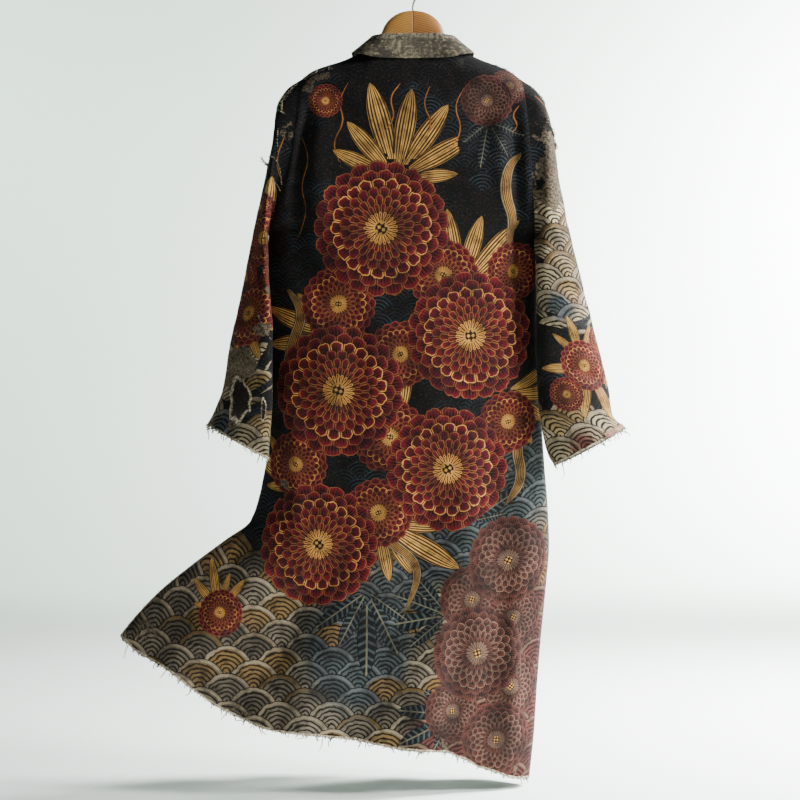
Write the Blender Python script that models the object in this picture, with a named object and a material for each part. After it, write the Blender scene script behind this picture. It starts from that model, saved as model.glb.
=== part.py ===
"""Long kimono coat hanging on a wooden hanger.

Metres, +Z up. The coat's back faces -Y and its open front faces +Y. The origin is
the inside of the hanger's hook, where a rail carries it.
"""

import math

import bmesh
import bpy
import numpy as np

# Cloth and seams
CLOTH = 0.0022              # wall of the woven cloth
SEAM_GAP = 0.0003           # between two pieces at a seam
HALF_GAP = SEAM_GAP / 2

# Stations down the body, as a share of the way from shoulder to hem
UNDERARM = 0.22             # where the armhole ends and the side seam starts
SLIT_TOP = 0.66             # where the left side seam ends in an open slit
SLIT_CLEAR = 0.003          # how far the front's edge of the slit stands off the back's
SHOULDER_ROLL = 0.035       # how soon the cloth turns down over the hanger
NECK_ROLL = 1.25            # how soon the back of the neck stands clear of the hanger
SHOULDER_FADE = 6           # power by which the shoulder line's shape fades down the body
HEM_FADE = 3                # power by which the hem's shape comes in
ARMHOLE_ROWS = 12
ROW_GROWTH = 1.6            # rows lie closer together near the shoulder
SKIRT_ROWS = 19
SHOULDER_COLUMNS = 10
NECK_COLUMNS = 12
SLEEVE_ROWS = 22

# Section of the body
NECK_HALF = 0.086           # half width of the neck opening
ARMHOLE_SHARE = 0.80        # depth of the armhole as a share of the body's depth
SIDE_ROUND = 2.4            # how square the body's section is
SIDE_POWER = 0.6
FOLD_EDGE = 8               # power that keeps the folds off the side seams
SHARP = math.radians(50)    # edges sharper than this are not shaded round

# Outline and depth of the back panel, a row for each level
BACK_COLUMNS = ("down", "left_x", "left_z", "right_x", "right_z", "left_y", "right_y", "depth")
BACK_ROWS = (
    (0.00, -0.196, -0.191, 0.1890, -0.191, 0.000, 0.000, 0.030),
    (0.07, -0.2025, -0.255, 0.1985, -0.255, 0.000, 0.000, 0.042),
    (0.13, -0.2140, -0.335, 0.2045, -0.335, 0.002, 0.002, 0.049),
    (0.18, -0.2315, -0.402, 0.2090, -0.405, 0.004, 0.004, 0.053),
    (0.22, -0.252, -0.457, 0.2135, -0.462, 0.006, 0.006, 0.056),
    (0.26, -0.2555, -0.505, 0.2165, -0.514, 0.008, 0.008, 0.057),
    (0.36, -0.251, -0.630, 0.2190, -0.650, 0.011, 0.011, 0.060),
    (0.52, -0.252, -0.810, 0.2305, -0.860, 0.012, 0.012, 0.065),
    (0.60, -0.2655, -0.900, 0.2365, -0.935, 0.012, 0.012, 0.069),
    (0.64, -0.278, -0.947, 0.2385, -0.980, 0.011, 0.010, 0.071),
    (0.66, -0.285, -0.963, 0.2390, -1.005, 0.010, 0.010, 0.072),
    (0.72, -0.328, -0.995, 0.2335, -1.075, 0.003, 0.008, 0.076),
    (0.80, -0.391, -1.042, 0.2240, -1.170, -0.008, 0.006, 0.082),
    (0.88, -0.442, -1.084, 0.2170, -1.255, -0.019, 0.004, 0.088),
    (0.94, -0.480, -1.124, 0.2125, -1.325, -0.028, 0.002, 0.092),
    (1.00, -0.507, -1.157, 0.2035, -1.4105, -0.035, 0.000, 0.095),
)

# The fronts share the back's edges as far as the slit, then hang straight on the left
FRONT_DEPTHS = ((0.00, 0.032), (0.10, 0.045), (0.22, 0.050), (0.52, 0.062), (0.80, 0.080), (1.00, 0.092))
FRONT_LEFT_COLUMNS = ("down", "left_x", "left_z", "left_y")
FRONT_LEFT_ROWS = (
    (0.72, -0.292, -1.014, 0.012),
    (0.80, -0.307, -1.083, 0.015),
    (0.88, -0.323, -1.152, 0.018),
    (0.94, -0.335, -1.203, 0.020),
    (1.00, -0.345, -1.255, 0.022),
)

# Height of the shoulder line and of the back's neck edge across the body: x, z
SHOULDER_LINE = (
    (-0.196, -0.191), (-0.175, -0.1755), (-0.124, -0.158), (-0.086, -0.145), (-0.050, -0.148),
    (0.000, -0.149), (0.050, -0.148), (0.086, -0.145), (0.124, -0.158), (0.166, -0.1745),
    (0.189, -0.191),
)

# Hems across the body: x, z
BACK_HEM = (
    (-0.507, -1.157), (-0.479, -1.179), (-0.418, -1.209), (-0.374, -1.242), (-0.323, -1.277),
    (-0.246, -1.308), (-0.191, -1.3155), (-0.104, -1.328), (-0.021, -1.344), (0.054, -1.352),
    (0.085, -1.365), (0.115, -1.383), (0.139, -1.3915), (0.1765, -1.4065), (0.2035, -1.4105),
)
FRONT_HEM = (
    (-0.345, -1.255), (-0.250, -1.300), (-0.060, -1.332), (0.060, -1.345), (0.150, -1.385),
    (0.2035, -1.4105),
)

# Half gap between the seams of the two front bands: down, x
FRONT_OPENING = ((0.00, 0.086), (0.05, 0.078), (0.12, 0.071), (0.22, 0.067), (0.60, 0.064), (1.00, 0.066))

# Soft folds: place across at the hem, lean towards the top, width, depth, where each starts
FOLD_COLUMNS = ("place", "lean", "width", "depth", "start")
BACK_FOLDS = (
    (0.14, 0.05, 0.045, 0.014, 0.62),
    (0.29, 0.07, 0.050, -0.012, 0.52),
    (0.43, 0.04, 0.060, 0.011, 0.40),
    (0.58, 0.01, 0.050, -0.009, 0.34),
    (0.72, -0.03, 0.055, 0.012, 0.30),
    (0.88, -0.04, 0.045, -0.010, 0.36),
)
FRONT_FOLDS = (
    (0.10, 0.03, 0.050, 0.012, 0.50),
    (0.24, 0.04, 0.055, -0.012, 0.36),
    (0.36, 0.02, 0.040, 0.009, 0.42),
    (0.66, -0.02, 0.045, 0.010, 0.38),
    (0.79, -0.04, 0.050, -0.012, 0.34),
    (0.92, -0.03, 0.045, 0.011, 0.48),
)

# Sleeves: outer and inner fold in the plane of the coat, and half depth
SLEEVE_COLUMNS = ("along", "outer_x", "outer_z", "inner_x", "inner_z", "inner_y", "depth")
LEFT_SLEEVE_ROWS = (
    (0.00, -0.1960, -0.191, -0.2520, -0.457, 0.006, 0.034),
    (0.05, -0.2205, -0.208, -0.2540, -0.459, 0.005, 0.035),
    (0.11, -0.2380, -0.240, -0.2565, -0.464, 0.002, 0.036),
    (0.20, -0.2450, -0.296, -0.2578, -0.477, -0.006, 0.037),
    (0.30, -0.2555, -0.348, -0.2562, -0.500, -0.022, 0.036),
    (0.45, -0.2750, -0.436, -0.2482, -0.556, -0.042, 0.034),
    (0.62, -0.2975, -0.550, -0.2425, -0.642, -0.048, 0.033),
    (0.80, -0.3220, -0.663, -0.2430, -0.742, -0.046, 0.034),
    (0.90, -0.3325, -0.7315, -0.2460, -0.798, -0.044, 0.035),
    (0.96, -0.3510, -0.777, -0.2485, -0.832, -0.043, 0.036),
    (1.00, -0.3600, -0.793, -0.2495, -0.853, -0.042, 0.037),
)
RIGHT_SLEEVE_ROWS = (
    (0.00, 0.1890, -0.191, 0.2135, -0.462, 0.006, 0.034),
    (0.05, 0.2135, -0.208, 0.2155, -0.464, 0.005, 0.035),
    (0.11, 0.2320, -0.236, 0.2175, -0.469, 0.002, 0.036),
    (0.20, 0.2450, -0.287, 0.2175, -0.482, -0.006, 0.037),
    (0.30, 0.2535, -0.348, 0.2165, -0.503, -0.014, 0.037),
    (0.45, 0.2695, -0.436, 0.2140, -0.557, -0.022, 0.036),
    (0.62, 0.2975, -0.550, 0.2135, -0.645, -0.024, 0.035),
    (0.80, 0.3255, -0.663, 0.2170, -0.751, -0.024, 0.035),
    (0.90, 0.3430, -0.733, 0.2250, -0.808, -0.024, 0.036),
    (0.96, 0.3490, -0.775, 0.2345, -0.845, -0.024, 0.037),
    (1.00, 0.3690, -0.800, 0.2450, -0.8635, -0.024, 0.038),
)
ARMHOLE_BLEND = 0.35        # share of the sleeve that turns from the armhole to a flat tube
SLEEVE_FLATNESS = 0.85      # power that squares the sleeve's section a little
RIGHT_CUFF_DROP = 0.008     # how far the far wall of the right cuff hangs below the near one
CUFF_START = 0.8            # share of the sleeve where that drop begins

# Rips cut through the back of the left sleeve: columns, rows and size in the sleeve's grid
RIP_COLUMNS = ("column", "columns", "row", "rows", "wide", "tall")
RIPS = (
    (3, 4, 18, 3, 0.72, 0.66),
    (8, 2, 18, 2, 0.46, 0.62),
)
RAGGED = (1.0, 0.82, 1.08, 0.9, 1.12, 0.78, 0.98, 1.1, 0.86, 1.04)

# Collar band: path of its stand and of its fall from the seam, on the +X side
COLLAR_COLUMNS = (
    "station", "stand_x", "stand_y", "stand_z", "fall_x", "fall_y", "fall_z", "stand", "fall"
)
COLLAR_ROWS = (
    (-1.000, 0.00, 0.08, 1.00, 0.00, -0.05, -1.00, 0.0335, 0.040),
    (-0.500, -0.10, 0.08, 1.00, 0.20, -0.10, -1.00, 0.0330, 0.041),
    (-0.150, -0.40, 0.06, 0.91, 0.60, -0.22, -0.77, 0.0315, 0.042),
    (0.000, -0.52, 0.05, 0.85, 0.77, 0.00, -0.63, 0.0310, 0.041),
    (0.004, -0.60, 0.20, 0.77, 0.79, 0.08, -0.60, 0.0300, 0.041),
    (0.013, -0.70, 0.28, 0.65, 0.87, 0.10, -0.48, 0.0300, 0.040),
    (0.024, -0.80, 0.28, 0.52, 0.93, 0.08, -0.34, 0.0300, 0.040),
    (0.038, -0.90, 0.22, 0.35, 0.97, 0.05, -0.22, 0.0300, 0.038),
    (0.060, -0.97, 0.12, 0.16, 1.00, 0.02, -0.10, 0.0300, 0.036),
    (0.110, -1.00, 0.03, 0.00, 1.00, 0.02, 0.00, 0.0300, 0.035),
    (1.000, -1.00, 0.03, 0.00, 1.00, 0.02, 0.00, 0.0300, 0.035),
)
COLLAR_FOLD = 0.0028        # bend radius at the middle of the cloth
COLLAR_BENDS = (-30, 30)    # degrees round the fold, before its crown

# Wooden hanger: top, foot and half thickness at each place across
HANGER_COLUMNS = ("across", "top", "foot", "thick")
HANGER_MIDDLE = (
    (0.000, -0.0691, -0.158, 0.0135),
    (0.014, -0.0706, -0.158, 0.0135),
    (0.027, -0.0748, -0.159, 0.0133),
    (0.040, -0.0835, -0.161, 0.0130),
    (0.049, -0.0945, -0.163, 0.0127),
    (0.0545, -0.1065, -0.164, 0.0124),
    (0.0580, -0.1180, -0.165, 0.0122),
    (0.0640, -0.1350, -0.167, 0.0118),
    (0.0740, -0.1485, -0.172, 0.0105),
)
HANGER_SHOULDERS = (0.090, 0.108, 0.128, 0.148, 0.160)
HANGER_SEAT = CLOTH + 2 * SEAM_GAP          # from the shoulder line down to the wood
HANGER_TIP = 0.1690
HANGER_CENTRE = -0.0035                     # middle between the two shoulder tips
ARM_TALL = 0.026
ARM_THICK = 0.0085
TIP_NARROW = 0.62                           # the tips' size as a share of the arms'
HANGER_SIDES = 14

# Hook of round wire
WIRE = 0.0039
HOOK_RADIUS = 0.0235                        # of the wire's middle line
HOOK_START = -58                            # degrees round the curl, 0 along +X
HOOK_END = 205
HOOK_STRAIGHT = 0.003
HOOK_HANDLE = 0.010
HOOK_STEPS = 6
CURL_STEP = 12                              # degrees between points round the curl

COLOURS = {
    "back": (0.115, 0.045, 0.045),
    "front_left": (0.100, 0.042, 0.042),
    "front_right": (0.100, 0.042, 0.042),
    "sleeve_left_back": (0.060, 0.048, 0.050),
    "sleeve_left_front": (0.060, 0.048, 0.050),
    "sleeve_right": (0.085, 0.060, 0.055),
    "collar": (0.120, 0.105, 0.085),
}
WOOD_COLOUR = (0.42, 0.24, 0.09)
STEEL_COLOUR = (0.30, 0.29, 0.27)


def smooth(stations, values, at):
    """A curve through the values with no overshoot, read at the places asked for."""
    stations, values, at = (np.asarray(item, float) for item in (stations, values, at))
    steps = np.diff(stations)
    slopes = np.diff(values) / steps
    tangents = np.empty_like(values)
    tangents[0], tangents[-1] = slopes[0], slopes[-1]
    same_way = slopes[:-1] * slopes[1:] > 0
    total = np.where(same_way, slopes[:-1] + slopes[1:], 1.0)
    tangents[1:-1] = np.where(same_way, 2 * slopes[:-1] * slopes[1:] / total, 0.0)
    span = np.clip(np.searchsorted(stations, at, side="right") - 1, 0, len(steps) - 1)
    share = np.clip((at - stations[span]) / steps[span], 0.0, 1.0)
    square, cube = share ** 2, share ** 3
    return (
        (2 * cube - 3 * square + 1) * values[span]
        + (cube - 2 * square + share) * steps[span] * tangents[span]
        + (3 * square - 2 * cube) * values[span + 1]
        + (cube - square) * steps[span] * tangents[span + 1]
    )


class Table:
    """Rows of named columns that can be read at any station of the first column."""

    def __init__(self, columns, rows):
        self.columns = columns
        self.rows = np.array(rows, float)

    def __call__(self, column, at):
        return smooth(self.rows[:, 0], self.rows[:, self.columns.index(column)], at)


def pairs(rows, at):
    """Read a two-column table."""
    stations, values = zip(*rows)
    return smooth(stations, values, at)


def unit(vectors):
    """Vectors brought to length one."""
    return vectors / np.maximum(np.linalg.norm(vectors, axis=-1, keepdims=True), 1e-12)


def ease(value):
    """Smooth step from 0 to 1."""
    value = np.clip(value, 0.0, 1.0)
    return value * value * (3 - 2 * value)


BACK = Table(BACK_COLUMNS, BACK_ROWS)


def front_table():
    """The back's edges down to the slit, then the left front's own edge."""
    shared = [row for row in BACK_ROWS if row[0] <= SLIT_TOP]
    own = {row[0]: row[1:] for row in FRONT_LEFT_ROWS}
    lower = []
    for row in BACK_ROWS:
        if row[0] in own:
            left_x, left_z, left_y = own[row[0]]
            lower.append((row[0], left_x, left_z, row[3], row[4], left_y, row[6], row[7]))
    rows = []
    for row in shared + lower:
        rows.append(row[:-1] + (float(pairs(FRONT_DEPTHS, row[0])),))
    return Table(BACK_COLUMNS, rows)


FRONT = front_table()


def fold_height(folds, across, down):
    """Sum of the soft folds at a place on a panel."""
    height = np.zeros_like(across)
    for row in folds:
        fold = dict(zip(FOLD_COLUMNS, row))
        middle = fold["place"] + fold["lean"] * (1 - down)
        bell = np.exp(-((across - middle) / fold["width"]) ** 2)
        height += fold["depth"] * bell * ease((down - fold["start"]) / (1 - fold["start"]))
    return height * (1 - np.abs(2 * across - 1) ** FOLD_EDGE)


def body_surface(table, side, hem, folds, across, down):
    """Outer surface of the body; side is -1 for the back and +1 for the fronts."""
    left_x, right_x = table("left_x", down), table("right_x", down)
    left_z, right_z = table("left_z", down), table("right_z", down)
    top_x = table("left_x", 0.0) + (table("right_x", 0.0) - table("left_x", 0.0)) * across
    hem_x = table("left_x", 1.0) + (table("right_x", 1.0) - table("left_x", 1.0)) * across
    hem_chord = table("left_z", 1.0) + (table("right_z", 1.0) - table("left_z", 1.0)) * across
    x = left_x + (right_x - left_x) * across
    z = left_z + (right_z - left_z) * across
    z = z + (1 - down) ** SHOULDER_FADE * (pairs(SHOULDER_LINE, top_x) - BACK_ROWS[0][2])
    z = z + down ** HEM_FADE * (pairs(hem, hem_x) - hem_chord)

    armhole = ARMHOLE_SHARE * np.sqrt(1 - np.clip(down / UNDERARM, 0, 1) ** 4)
    section = np.clip(1 - np.abs(2 * across - 1) ** SIDE_ROUND, 0, 1) ** SIDE_POWER
    section = armhole + (1 - armhole) * section
    neck = np.clip(1 - (top_x / NECK_HALF) ** 2, 0, 1)
    roll = np.clip(down / SHOULDER_ROLL + NECK_ROLL * neck, 0, 1)
    roll = np.sqrt(1 - (1 - roll) ** 2)
    middle = table("left_y", down) + (table("right_y", down) - table("left_y", down)) * across
    bulge = table("depth", down) * section * roll + fold_height(folds, across, down)
    return np.stack([x, middle + side * bulge, z], axis=-1)


def down_stations():
    """Rows down the body: close together over the shoulder, even below the underarm."""
    armhole = UNDERARM * (np.arange(ARMHOLE_ROWS + 1) / ARMHOLE_ROWS) ** ROW_GROWTH
    skirt = UNDERARM + (1 - UNDERARM) * np.arange(1, SKIRT_ROWS + 1) / SKIRT_ROWS
    return np.concatenate([armhole, skirt])


def neck_share(side):
    """Where the neck's side point lies across the body; side is -1 or +1."""
    left, right = BACK("left_x", 0.0), BACK("right_x", 0.0)
    return (side * NECK_HALF - left) / (right - left)


def surface_normals(grid, side, wrap=False):
    """Unit normals of a grid of points, pointing out of the coat."""
    if wrap:
        along = np.roll(grid, -1, axis=0) - np.roll(grid, 1, axis=0)
    else:
        along = np.gradient(grid, axis=0)
    return side * unit(np.cross(along, np.gradient(grid, axis=1)))


def in_plane(normals):
    """Normals of a seam where the back meets the front: nothing along Y."""
    return unit(normals * np.array([1.0, 0.0, 1.0]))


def neck_turn():
    """Places round the back of the neck from -1 to +1, closest together at its sides."""
    return np.sin(np.linspace(-1, 1, NECK_COLUMNS + 1) * math.pi / 2)


def back_grid():
    """Points and normals of the back panel, columns by rows."""
    left, right = neck_share(-1), neck_share(1)
    across = np.concatenate([
        np.linspace(0, left, SHOULDER_COLUMNS + 1),
        left + (right - left) * (1 + neck_turn()[1:]) / 2,
        np.linspace(right, 1, SHOULDER_COLUMNS + 1)[1:],
    ])
    down = down_stations()
    grid = body_surface(BACK, -1, BACK_HEM, BACK_FOLDS, *np.meshgrid(across, down, indexing="ij"))
    return grid, surface_normals(grid, -1)


def front_grid(side):
    """Points and normals of one front, from its left edge to its right edge."""
    down = down_stations()
    left, right = FRONT("left_x", down), FRONT("right_x", down)
    opening = (side * pairs(FRONT_OPENING, down) - left) / (right - left)
    share = np.linspace(0, 1, SHOULDER_COLUMNS + 1)[:, None]
    if side < 0:
        across = share * opening
    else:
        across = opening + share * (1 - opening)
    down = np.broadcast_to(down, across.shape)
    grid = body_surface(FRONT, 1, FRONT_HEM, FRONT_FOLDS, across, down)
    return grid, surface_normals(grid, 1)


def armhole_ring(back, front_left, front_right, side):
    """The armhole's points, from the shoulder down the back and up the front."""
    rows = ARMHOLE_ROWS + 1
    near = back[0 if side < 0 else -1, :rows]
    far = (front_left[0] if side < 0 else front_right[-1])[:rows]
    ring = np.concatenate([near, far[-2:0:-1]])
    chord = near[-1] - near[0]
    outward = unit(np.cross(chord, [0.0, 1.0, 0.0]))
    outward = outward * side * np.sign(outward[0])
    tangent = np.roll(ring, -1, axis=0) - np.roll(ring, 1, axis=0)
    normals = unit(np.cross(tangent, outward))
    middle = ring.mean(axis=0)
    facing = np.sign(np.sum(normals * (ring - middle), axis=1).sum())
    return ring, normals * facing, outward


def sleeve_grid(rows, ring, outward, cuff_drop):
    """Points of a sleeve: round the tube by along the arm, starting at the outer fold."""
    table = Table(SLEEVE_COLUMNS, rows)
    count = len(ring)
    turn = 2 * math.pi * np.arange(count) / count
    along = np.linspace(0, 1, SLEEVE_ROWS + 1)
    turn, along = np.meshgrid(turn, along, indexing="ij")
    chord = ring[count // 2] - ring[0]
    height = np.clip((ring - ring[0]) @ chord / (chord @ chord), 0, 1)[:, None]
    settled = ease(along / ARMHOLE_BLEND)
    inward = height * (1 - settled) + (1 - np.cos(turn)) / 2 * settled
    x = table("outer_x", along) + (table("inner_x", along) - table("outer_x", along)) * inward
    z = table("outer_z", along) + (table("inner_z", along) - table("outer_z", along)) * inward
    depth = np.sign(np.sin(turn)) * np.abs(np.sin(turn)) ** SLEEVE_FLATNESS * table("depth", along)
    y = table("inner_y", along) * inward - depth
    lowered = ease((along - CUFF_START) / (1 - CUFF_START))
    z = z - cuff_drop * np.clip(-np.sin(turn), 0, 1) * lowered
    grid = np.stack([x, y, z], axis=-1)
    reach = np.clip(1 - along / ARMHOLE_BLEND, 0, 1)[..., None] ** 2
    start = (ring + outward * SEAM_GAP)[:, None, :]
    return grid + reach * (start - grid[:, :1, :])


def parted(grid, normals, column, rows, shift):
    """Move an edge that meets its neighbour by half the seam's gap, and square it."""
    normals[column, rows] = in_plane(normals[column, rows])
    grid[column, rows, 1] += shift


def solid(name, points, normals, faces, colour, thickness=CLOTH):
    """A closed wall: the outer points, the same points moved in, and its edges."""
    count = len(points)
    inner = points - normals * thickness
    mesh = bpy.data.meshes.new(name)
    bm = bmesh.new()
    verts = [bm.verts.new(point) for point in np.concatenate([points, inner])]
    sides = {}
    for face in faces:
        bm.faces.new([verts[i] for i in face])
        bm.faces.new([verts[i + count] for i in reversed(face)])
        for a, b in zip(face, face[1:] + face[:1]):
            if (b, a) in sides:
                del sides[(b, a)]
            else:
                sides[(a, b)] = True
    for a, b in sides:
        bm.faces.new([verts[b], verts[a], verts[a + count], verts[b + count]])
    bmesh.ops.delete(bm, geom=[v for v in bm.verts if not v.link_faces], context="VERTS")
    bmesh.ops.recalc_face_normals(bm, faces=bm.faces)
    bm.to_mesh(mesh)
    bm.free()
    mesh.shade_smooth()
    mesh.set_sharp_from_angle(angle=SHARP)
    return place(name, mesh, colour, 0.9, 0.0)


def place(name, mesh, colour, roughness, metallic):
    """Put a mesh in the scene with a plain material of its own."""
    material = bpy.data.materials.new(name)
    material.use_nodes = True
    shader = material.node_tree.nodes["Principled BSDF"]
    shader.inputs["Base Color"].default_value = (*colour, 1.0)
    shader.inputs["Roughness"].default_value = roughness
    shader.inputs["Metallic"].default_value = metallic
    mesh.materials.append(material)
    piece = bpy.data.objects.new(name, mesh)
    bpy.context.collection.objects.link(piece)
    return piece


def grid_faces(columns, rows, wrap=False):
    """Four-sided faces of a grid whose points run column by column."""
    faces = []
    for i in range(columns if wrap else columns - 1):
        for j in range(rows - 1):
            a, b = i * rows + j, ((i + 1) % columns) * rows + j
            faces.append((a, b, b + 1, a + 1))
    return faces


def cloth(name, grid, normals, wrap=False):
    """A wall of cloth over a whole grid."""
    columns, rows = grid.shape[:2]
    faces = grid_faces(columns, rows, wrap)
    return solid(name, grid.reshape(-1, 3), normals.reshape(-1, 3), faces, COLOURS[name])


def read_grid(grid, column, row):
    """A point between four points of a grid."""
    i, j = int(min(column, len(grid) - 2)), int(min(row, grid.shape[1] - 2))
    a, b = column - i, row - j
    near = grid[i, j] * (1 - a) + grid[i + 1, j] * a
    far = grid[i, j + 1] * (1 - a) + grid[i + 1, j + 1] * a
    return near * (1 - b) + far * b


def ripped_cloth(name, grid, normals, rips):
    """A wall of cloth with ragged holes torn through it."""
    columns, rows = grid.shape[:2]
    points = list(grid.reshape(-1, 3))
    outs = list(normals.reshape(-1, 3))
    torn = set()
    rims = []
    for row in rips:
        rip = dict(zip(RIP_COLUMNS, row))
        first, last = rip["column"], rip["column"] + rip["columns"]
        top, foot = rip["row"], rip["row"] + rip["rows"]
        torn.update((i, j) for i in range(first, last) for j in range(top, foot))
        loop = [(i, top) for i in range(first, last)]
        loop += [(last, j) for j in range(top, foot)]
        loop += [(i, foot) for i in range(last, first, -1)]
        loop += [(first, j) for j in range(foot, top, -1)]
        middle = np.array([(first + last) / 2, (top + foot) / 2])
        half = np.array([rip["columns"], rip["rows"]]) / 2
        rim = []
        for k, corner in enumerate(loop):
            away = (np.array(corner) - middle) / half
            away = away / max(1.0, np.linalg.norm(away)) * RAGGED[k % len(RAGGED)]
            spot = middle + away * half * (rip["wide"], rip["tall"])
            rim.append(len(points))
            points.append(read_grid(grid, *spot))
            outs.append(unit(read_grid(normals, *spot)))
        rims.append((loop, rim))
    faces = []
    for face in grid_faces(columns, rows):
        if (face[0] // rows, face[0] % rows) not in torn:
            faces.append(face)
    for loop, rim in rims:
        around = [i * rows + j for i, j in loop]
        for k, here in enumerate(around):
            after = (k + 1) % len(around)
            faces.append((here, around[after], rim[after], rim[k]))
    return solid(name, np.array(points), np.array(outs), faces, COLOURS[name])


def collar_seam(back, back_normals, fronts):
    """Edge points, normals and stations along the band, from one front hem to the other."""
    (left, left_normals), (right, right_normals) = fronts
    down = down_stations()
    neck = slice(SHOULDER_COLUMNS, SHOULDER_COLUMNS + NECK_COLUMNS + 1)
    turn = neck_turn()
    edge = np.concatenate([left[-1, :0:-1], back[neck, 0], right[0, 1:]])
    normals = np.concatenate([left_normals[-1, :0:-1], back_normals[neck, 0], right_normals[0, 1:]])
    station = np.concatenate([down[:0:-1], np.abs(turn) - 1, down[1:]])
    side = np.concatenate([-np.ones(len(down) - 1), turn, np.ones(len(down) - 1)])
    return edge, normals, station, np.clip(side * NECK_COLUMNS / 2, -1, 1)


def collar_grid(edge, normals, station, side):
    """Middle surface of the folded band: out of the seam, over the fold and back."""
    table = Table(COLLAR_COLUMNS, COLLAR_ROWS)

    def vectors(kind):
        parts = [table(f"{kind}_{axis}", station) for axis in "xyz"]
        return unit(np.stack([parts[0] * side, parts[1], parts[2]], axis=-1))

    stand, fall = vectors("stand"), vectors("fall")
    out = unit(normals - stand * np.sum(normals * stand, axis=1, keepdims=True))
    seam = edge - normals * CLOTH / 2 + stand * SEAM_GAP
    tall = (table("stand", station) - COLLAR_FOLD)[:, None]
    drop = table("fall", station)[:, None]
    path = [seam, seam + stand * tall * 0.5, seam + stand * tall]
    centre = seam + stand * tall + out * COLLAR_FOLD
    for degrees in COLLAR_BENDS:
        bend = math.radians(degrees)
        path.append(centre + COLLAR_FOLD * (stand * math.cos(bend) + out * math.sin(bend)))
    crown = centre + COLLAR_FOLD * out
    path += [crown, crown + fall * drop * 0.5, crown + fall * drop]
    grid = np.stack(path, axis=1)
    faces_out = surface_normals(grid, 1)
    if np.sum(faces_out[:, 0] * normals) < 0:
        faces_out = -faces_out
    faces_out[:, 0] = normals
    return grid + faces_out * CLOTH / 2, faces_out


def hanger_stations():
    """Across, top, foot and half thickness of the hanger at each of its sections."""
    middle = Table(HANGER_COLUMNS, HANGER_MIDDLE)
    rows = []
    for x, *_ in HANGER_MIDDLE:
        rows.append((x, *(float(middle(name, x)) for name in HANGER_COLUMNS[1:])))
    stations = []
    for side in (-1, 1):
        reach = HANGER_TIP + side * HANGER_CENTRE
        for x, top, foot, thick in rows[1:] if side > 0 else rows:
            stations.append((side * x, top, foot, thick))
        for x in (*HANGER_SHOULDERS, reach):
            top = float(pairs(SHOULDER_LINE, side * x)) - HANGER_SEAT
            narrow = TIP_NARROW if x == reach else 1.0
            stations.append((side * x, top, top - ARM_TALL * narrow, ARM_THICK * narrow))
    return sorted(stations)


def hanger():
    """Wooden body of the hanger, lofted from end to end."""
    bm = bmesh.new()
    loops = []
    for x, top, foot, thick in hanger_stations():
        loop = []
        for k in range(HANGER_SIDES):
            turn = 2 * math.pi * k / HANGER_SIDES
            height = (top + foot) / 2 + (top - foot) / 2 * math.cos(turn)
            loop.append(bm.verts.new((x, thick * math.sin(turn), height)))
        loops.append(loop)
    for near, far in zip(loops, loops[1:]):
        for k in range(HANGER_SIDES):
            after = (k + 1) % HANGER_SIDES
            bm.faces.new((near[k], near[after], far[after], far[k]))
    bm.faces.new(loops[0])
    bm.faces.new(reversed(loops[-1]))
    bmesh.ops.recalc_face_normals(bm, faces=bm.faces)
    mesh = bpy.data.meshes.new("hanger")
    bm.to_mesh(mesh)
    bm.free()
    mesh.shade_smooth()
    mesh.set_sharp_from_angle(angle=SHARP)
    return place("hanger", mesh, WOOD_COLOUR, 0.45, 0.0)


def hook():
    """Round wire: straight out of the wood, then three quarters of a circle."""
    centre = WIRE / 2 - HOOK_RADIUS
    foot = HANGER_MIDDLE[0][1] + SEAM_GAP
    start = math.radians(HOOK_START)
    curl_x, curl_z = HOOK_RADIUS * math.cos(start), centre + HOOK_RADIUS * math.sin(start)
    bottom = np.array([0.0, foot + HOOK_STRAIGHT])
    top = np.array([curl_x, curl_z])
    heading = np.array([-math.sin(start), math.cos(start)])
    handles = (bottom + [0.0, HOOK_HANDLE], top - heading * HOOK_HANDLE)
    route = [(0.0, foot)]
    for step in range(HOOK_STEPS):
        share = step / HOOK_STEPS
        rest = 1 - share
        route.append(
            rest ** 3 * bottom + 3 * rest ** 2 * share * handles[0]
            + 3 * rest * share ** 2 * handles[1] + share ** 3 * top
        )
    for degrees in range(HOOK_START, HOOK_END + 1, CURL_STEP):
        turn = math.radians(degrees)
        route.append((HOOK_RADIUS * math.cos(turn), centre + HOOK_RADIUS * math.sin(turn)))
    curve = bpy.data.curves.new("hook", "CURVE")
    curve.dimensions = "3D"
    curve.bevel_depth = WIRE / 2
    curve.bevel_resolution = 2
    curve.use_fill_caps = True
    spline = curve.splines.new("POLY")
    spline.points.add(len(route) - 1)
    for point, (x, z) in zip(spline.points, route):
        point.co = (x, 0.0, z, 1.0)
    place("hook", curve, STEEL_COLOUR, 0.35, 1.0)


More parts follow.
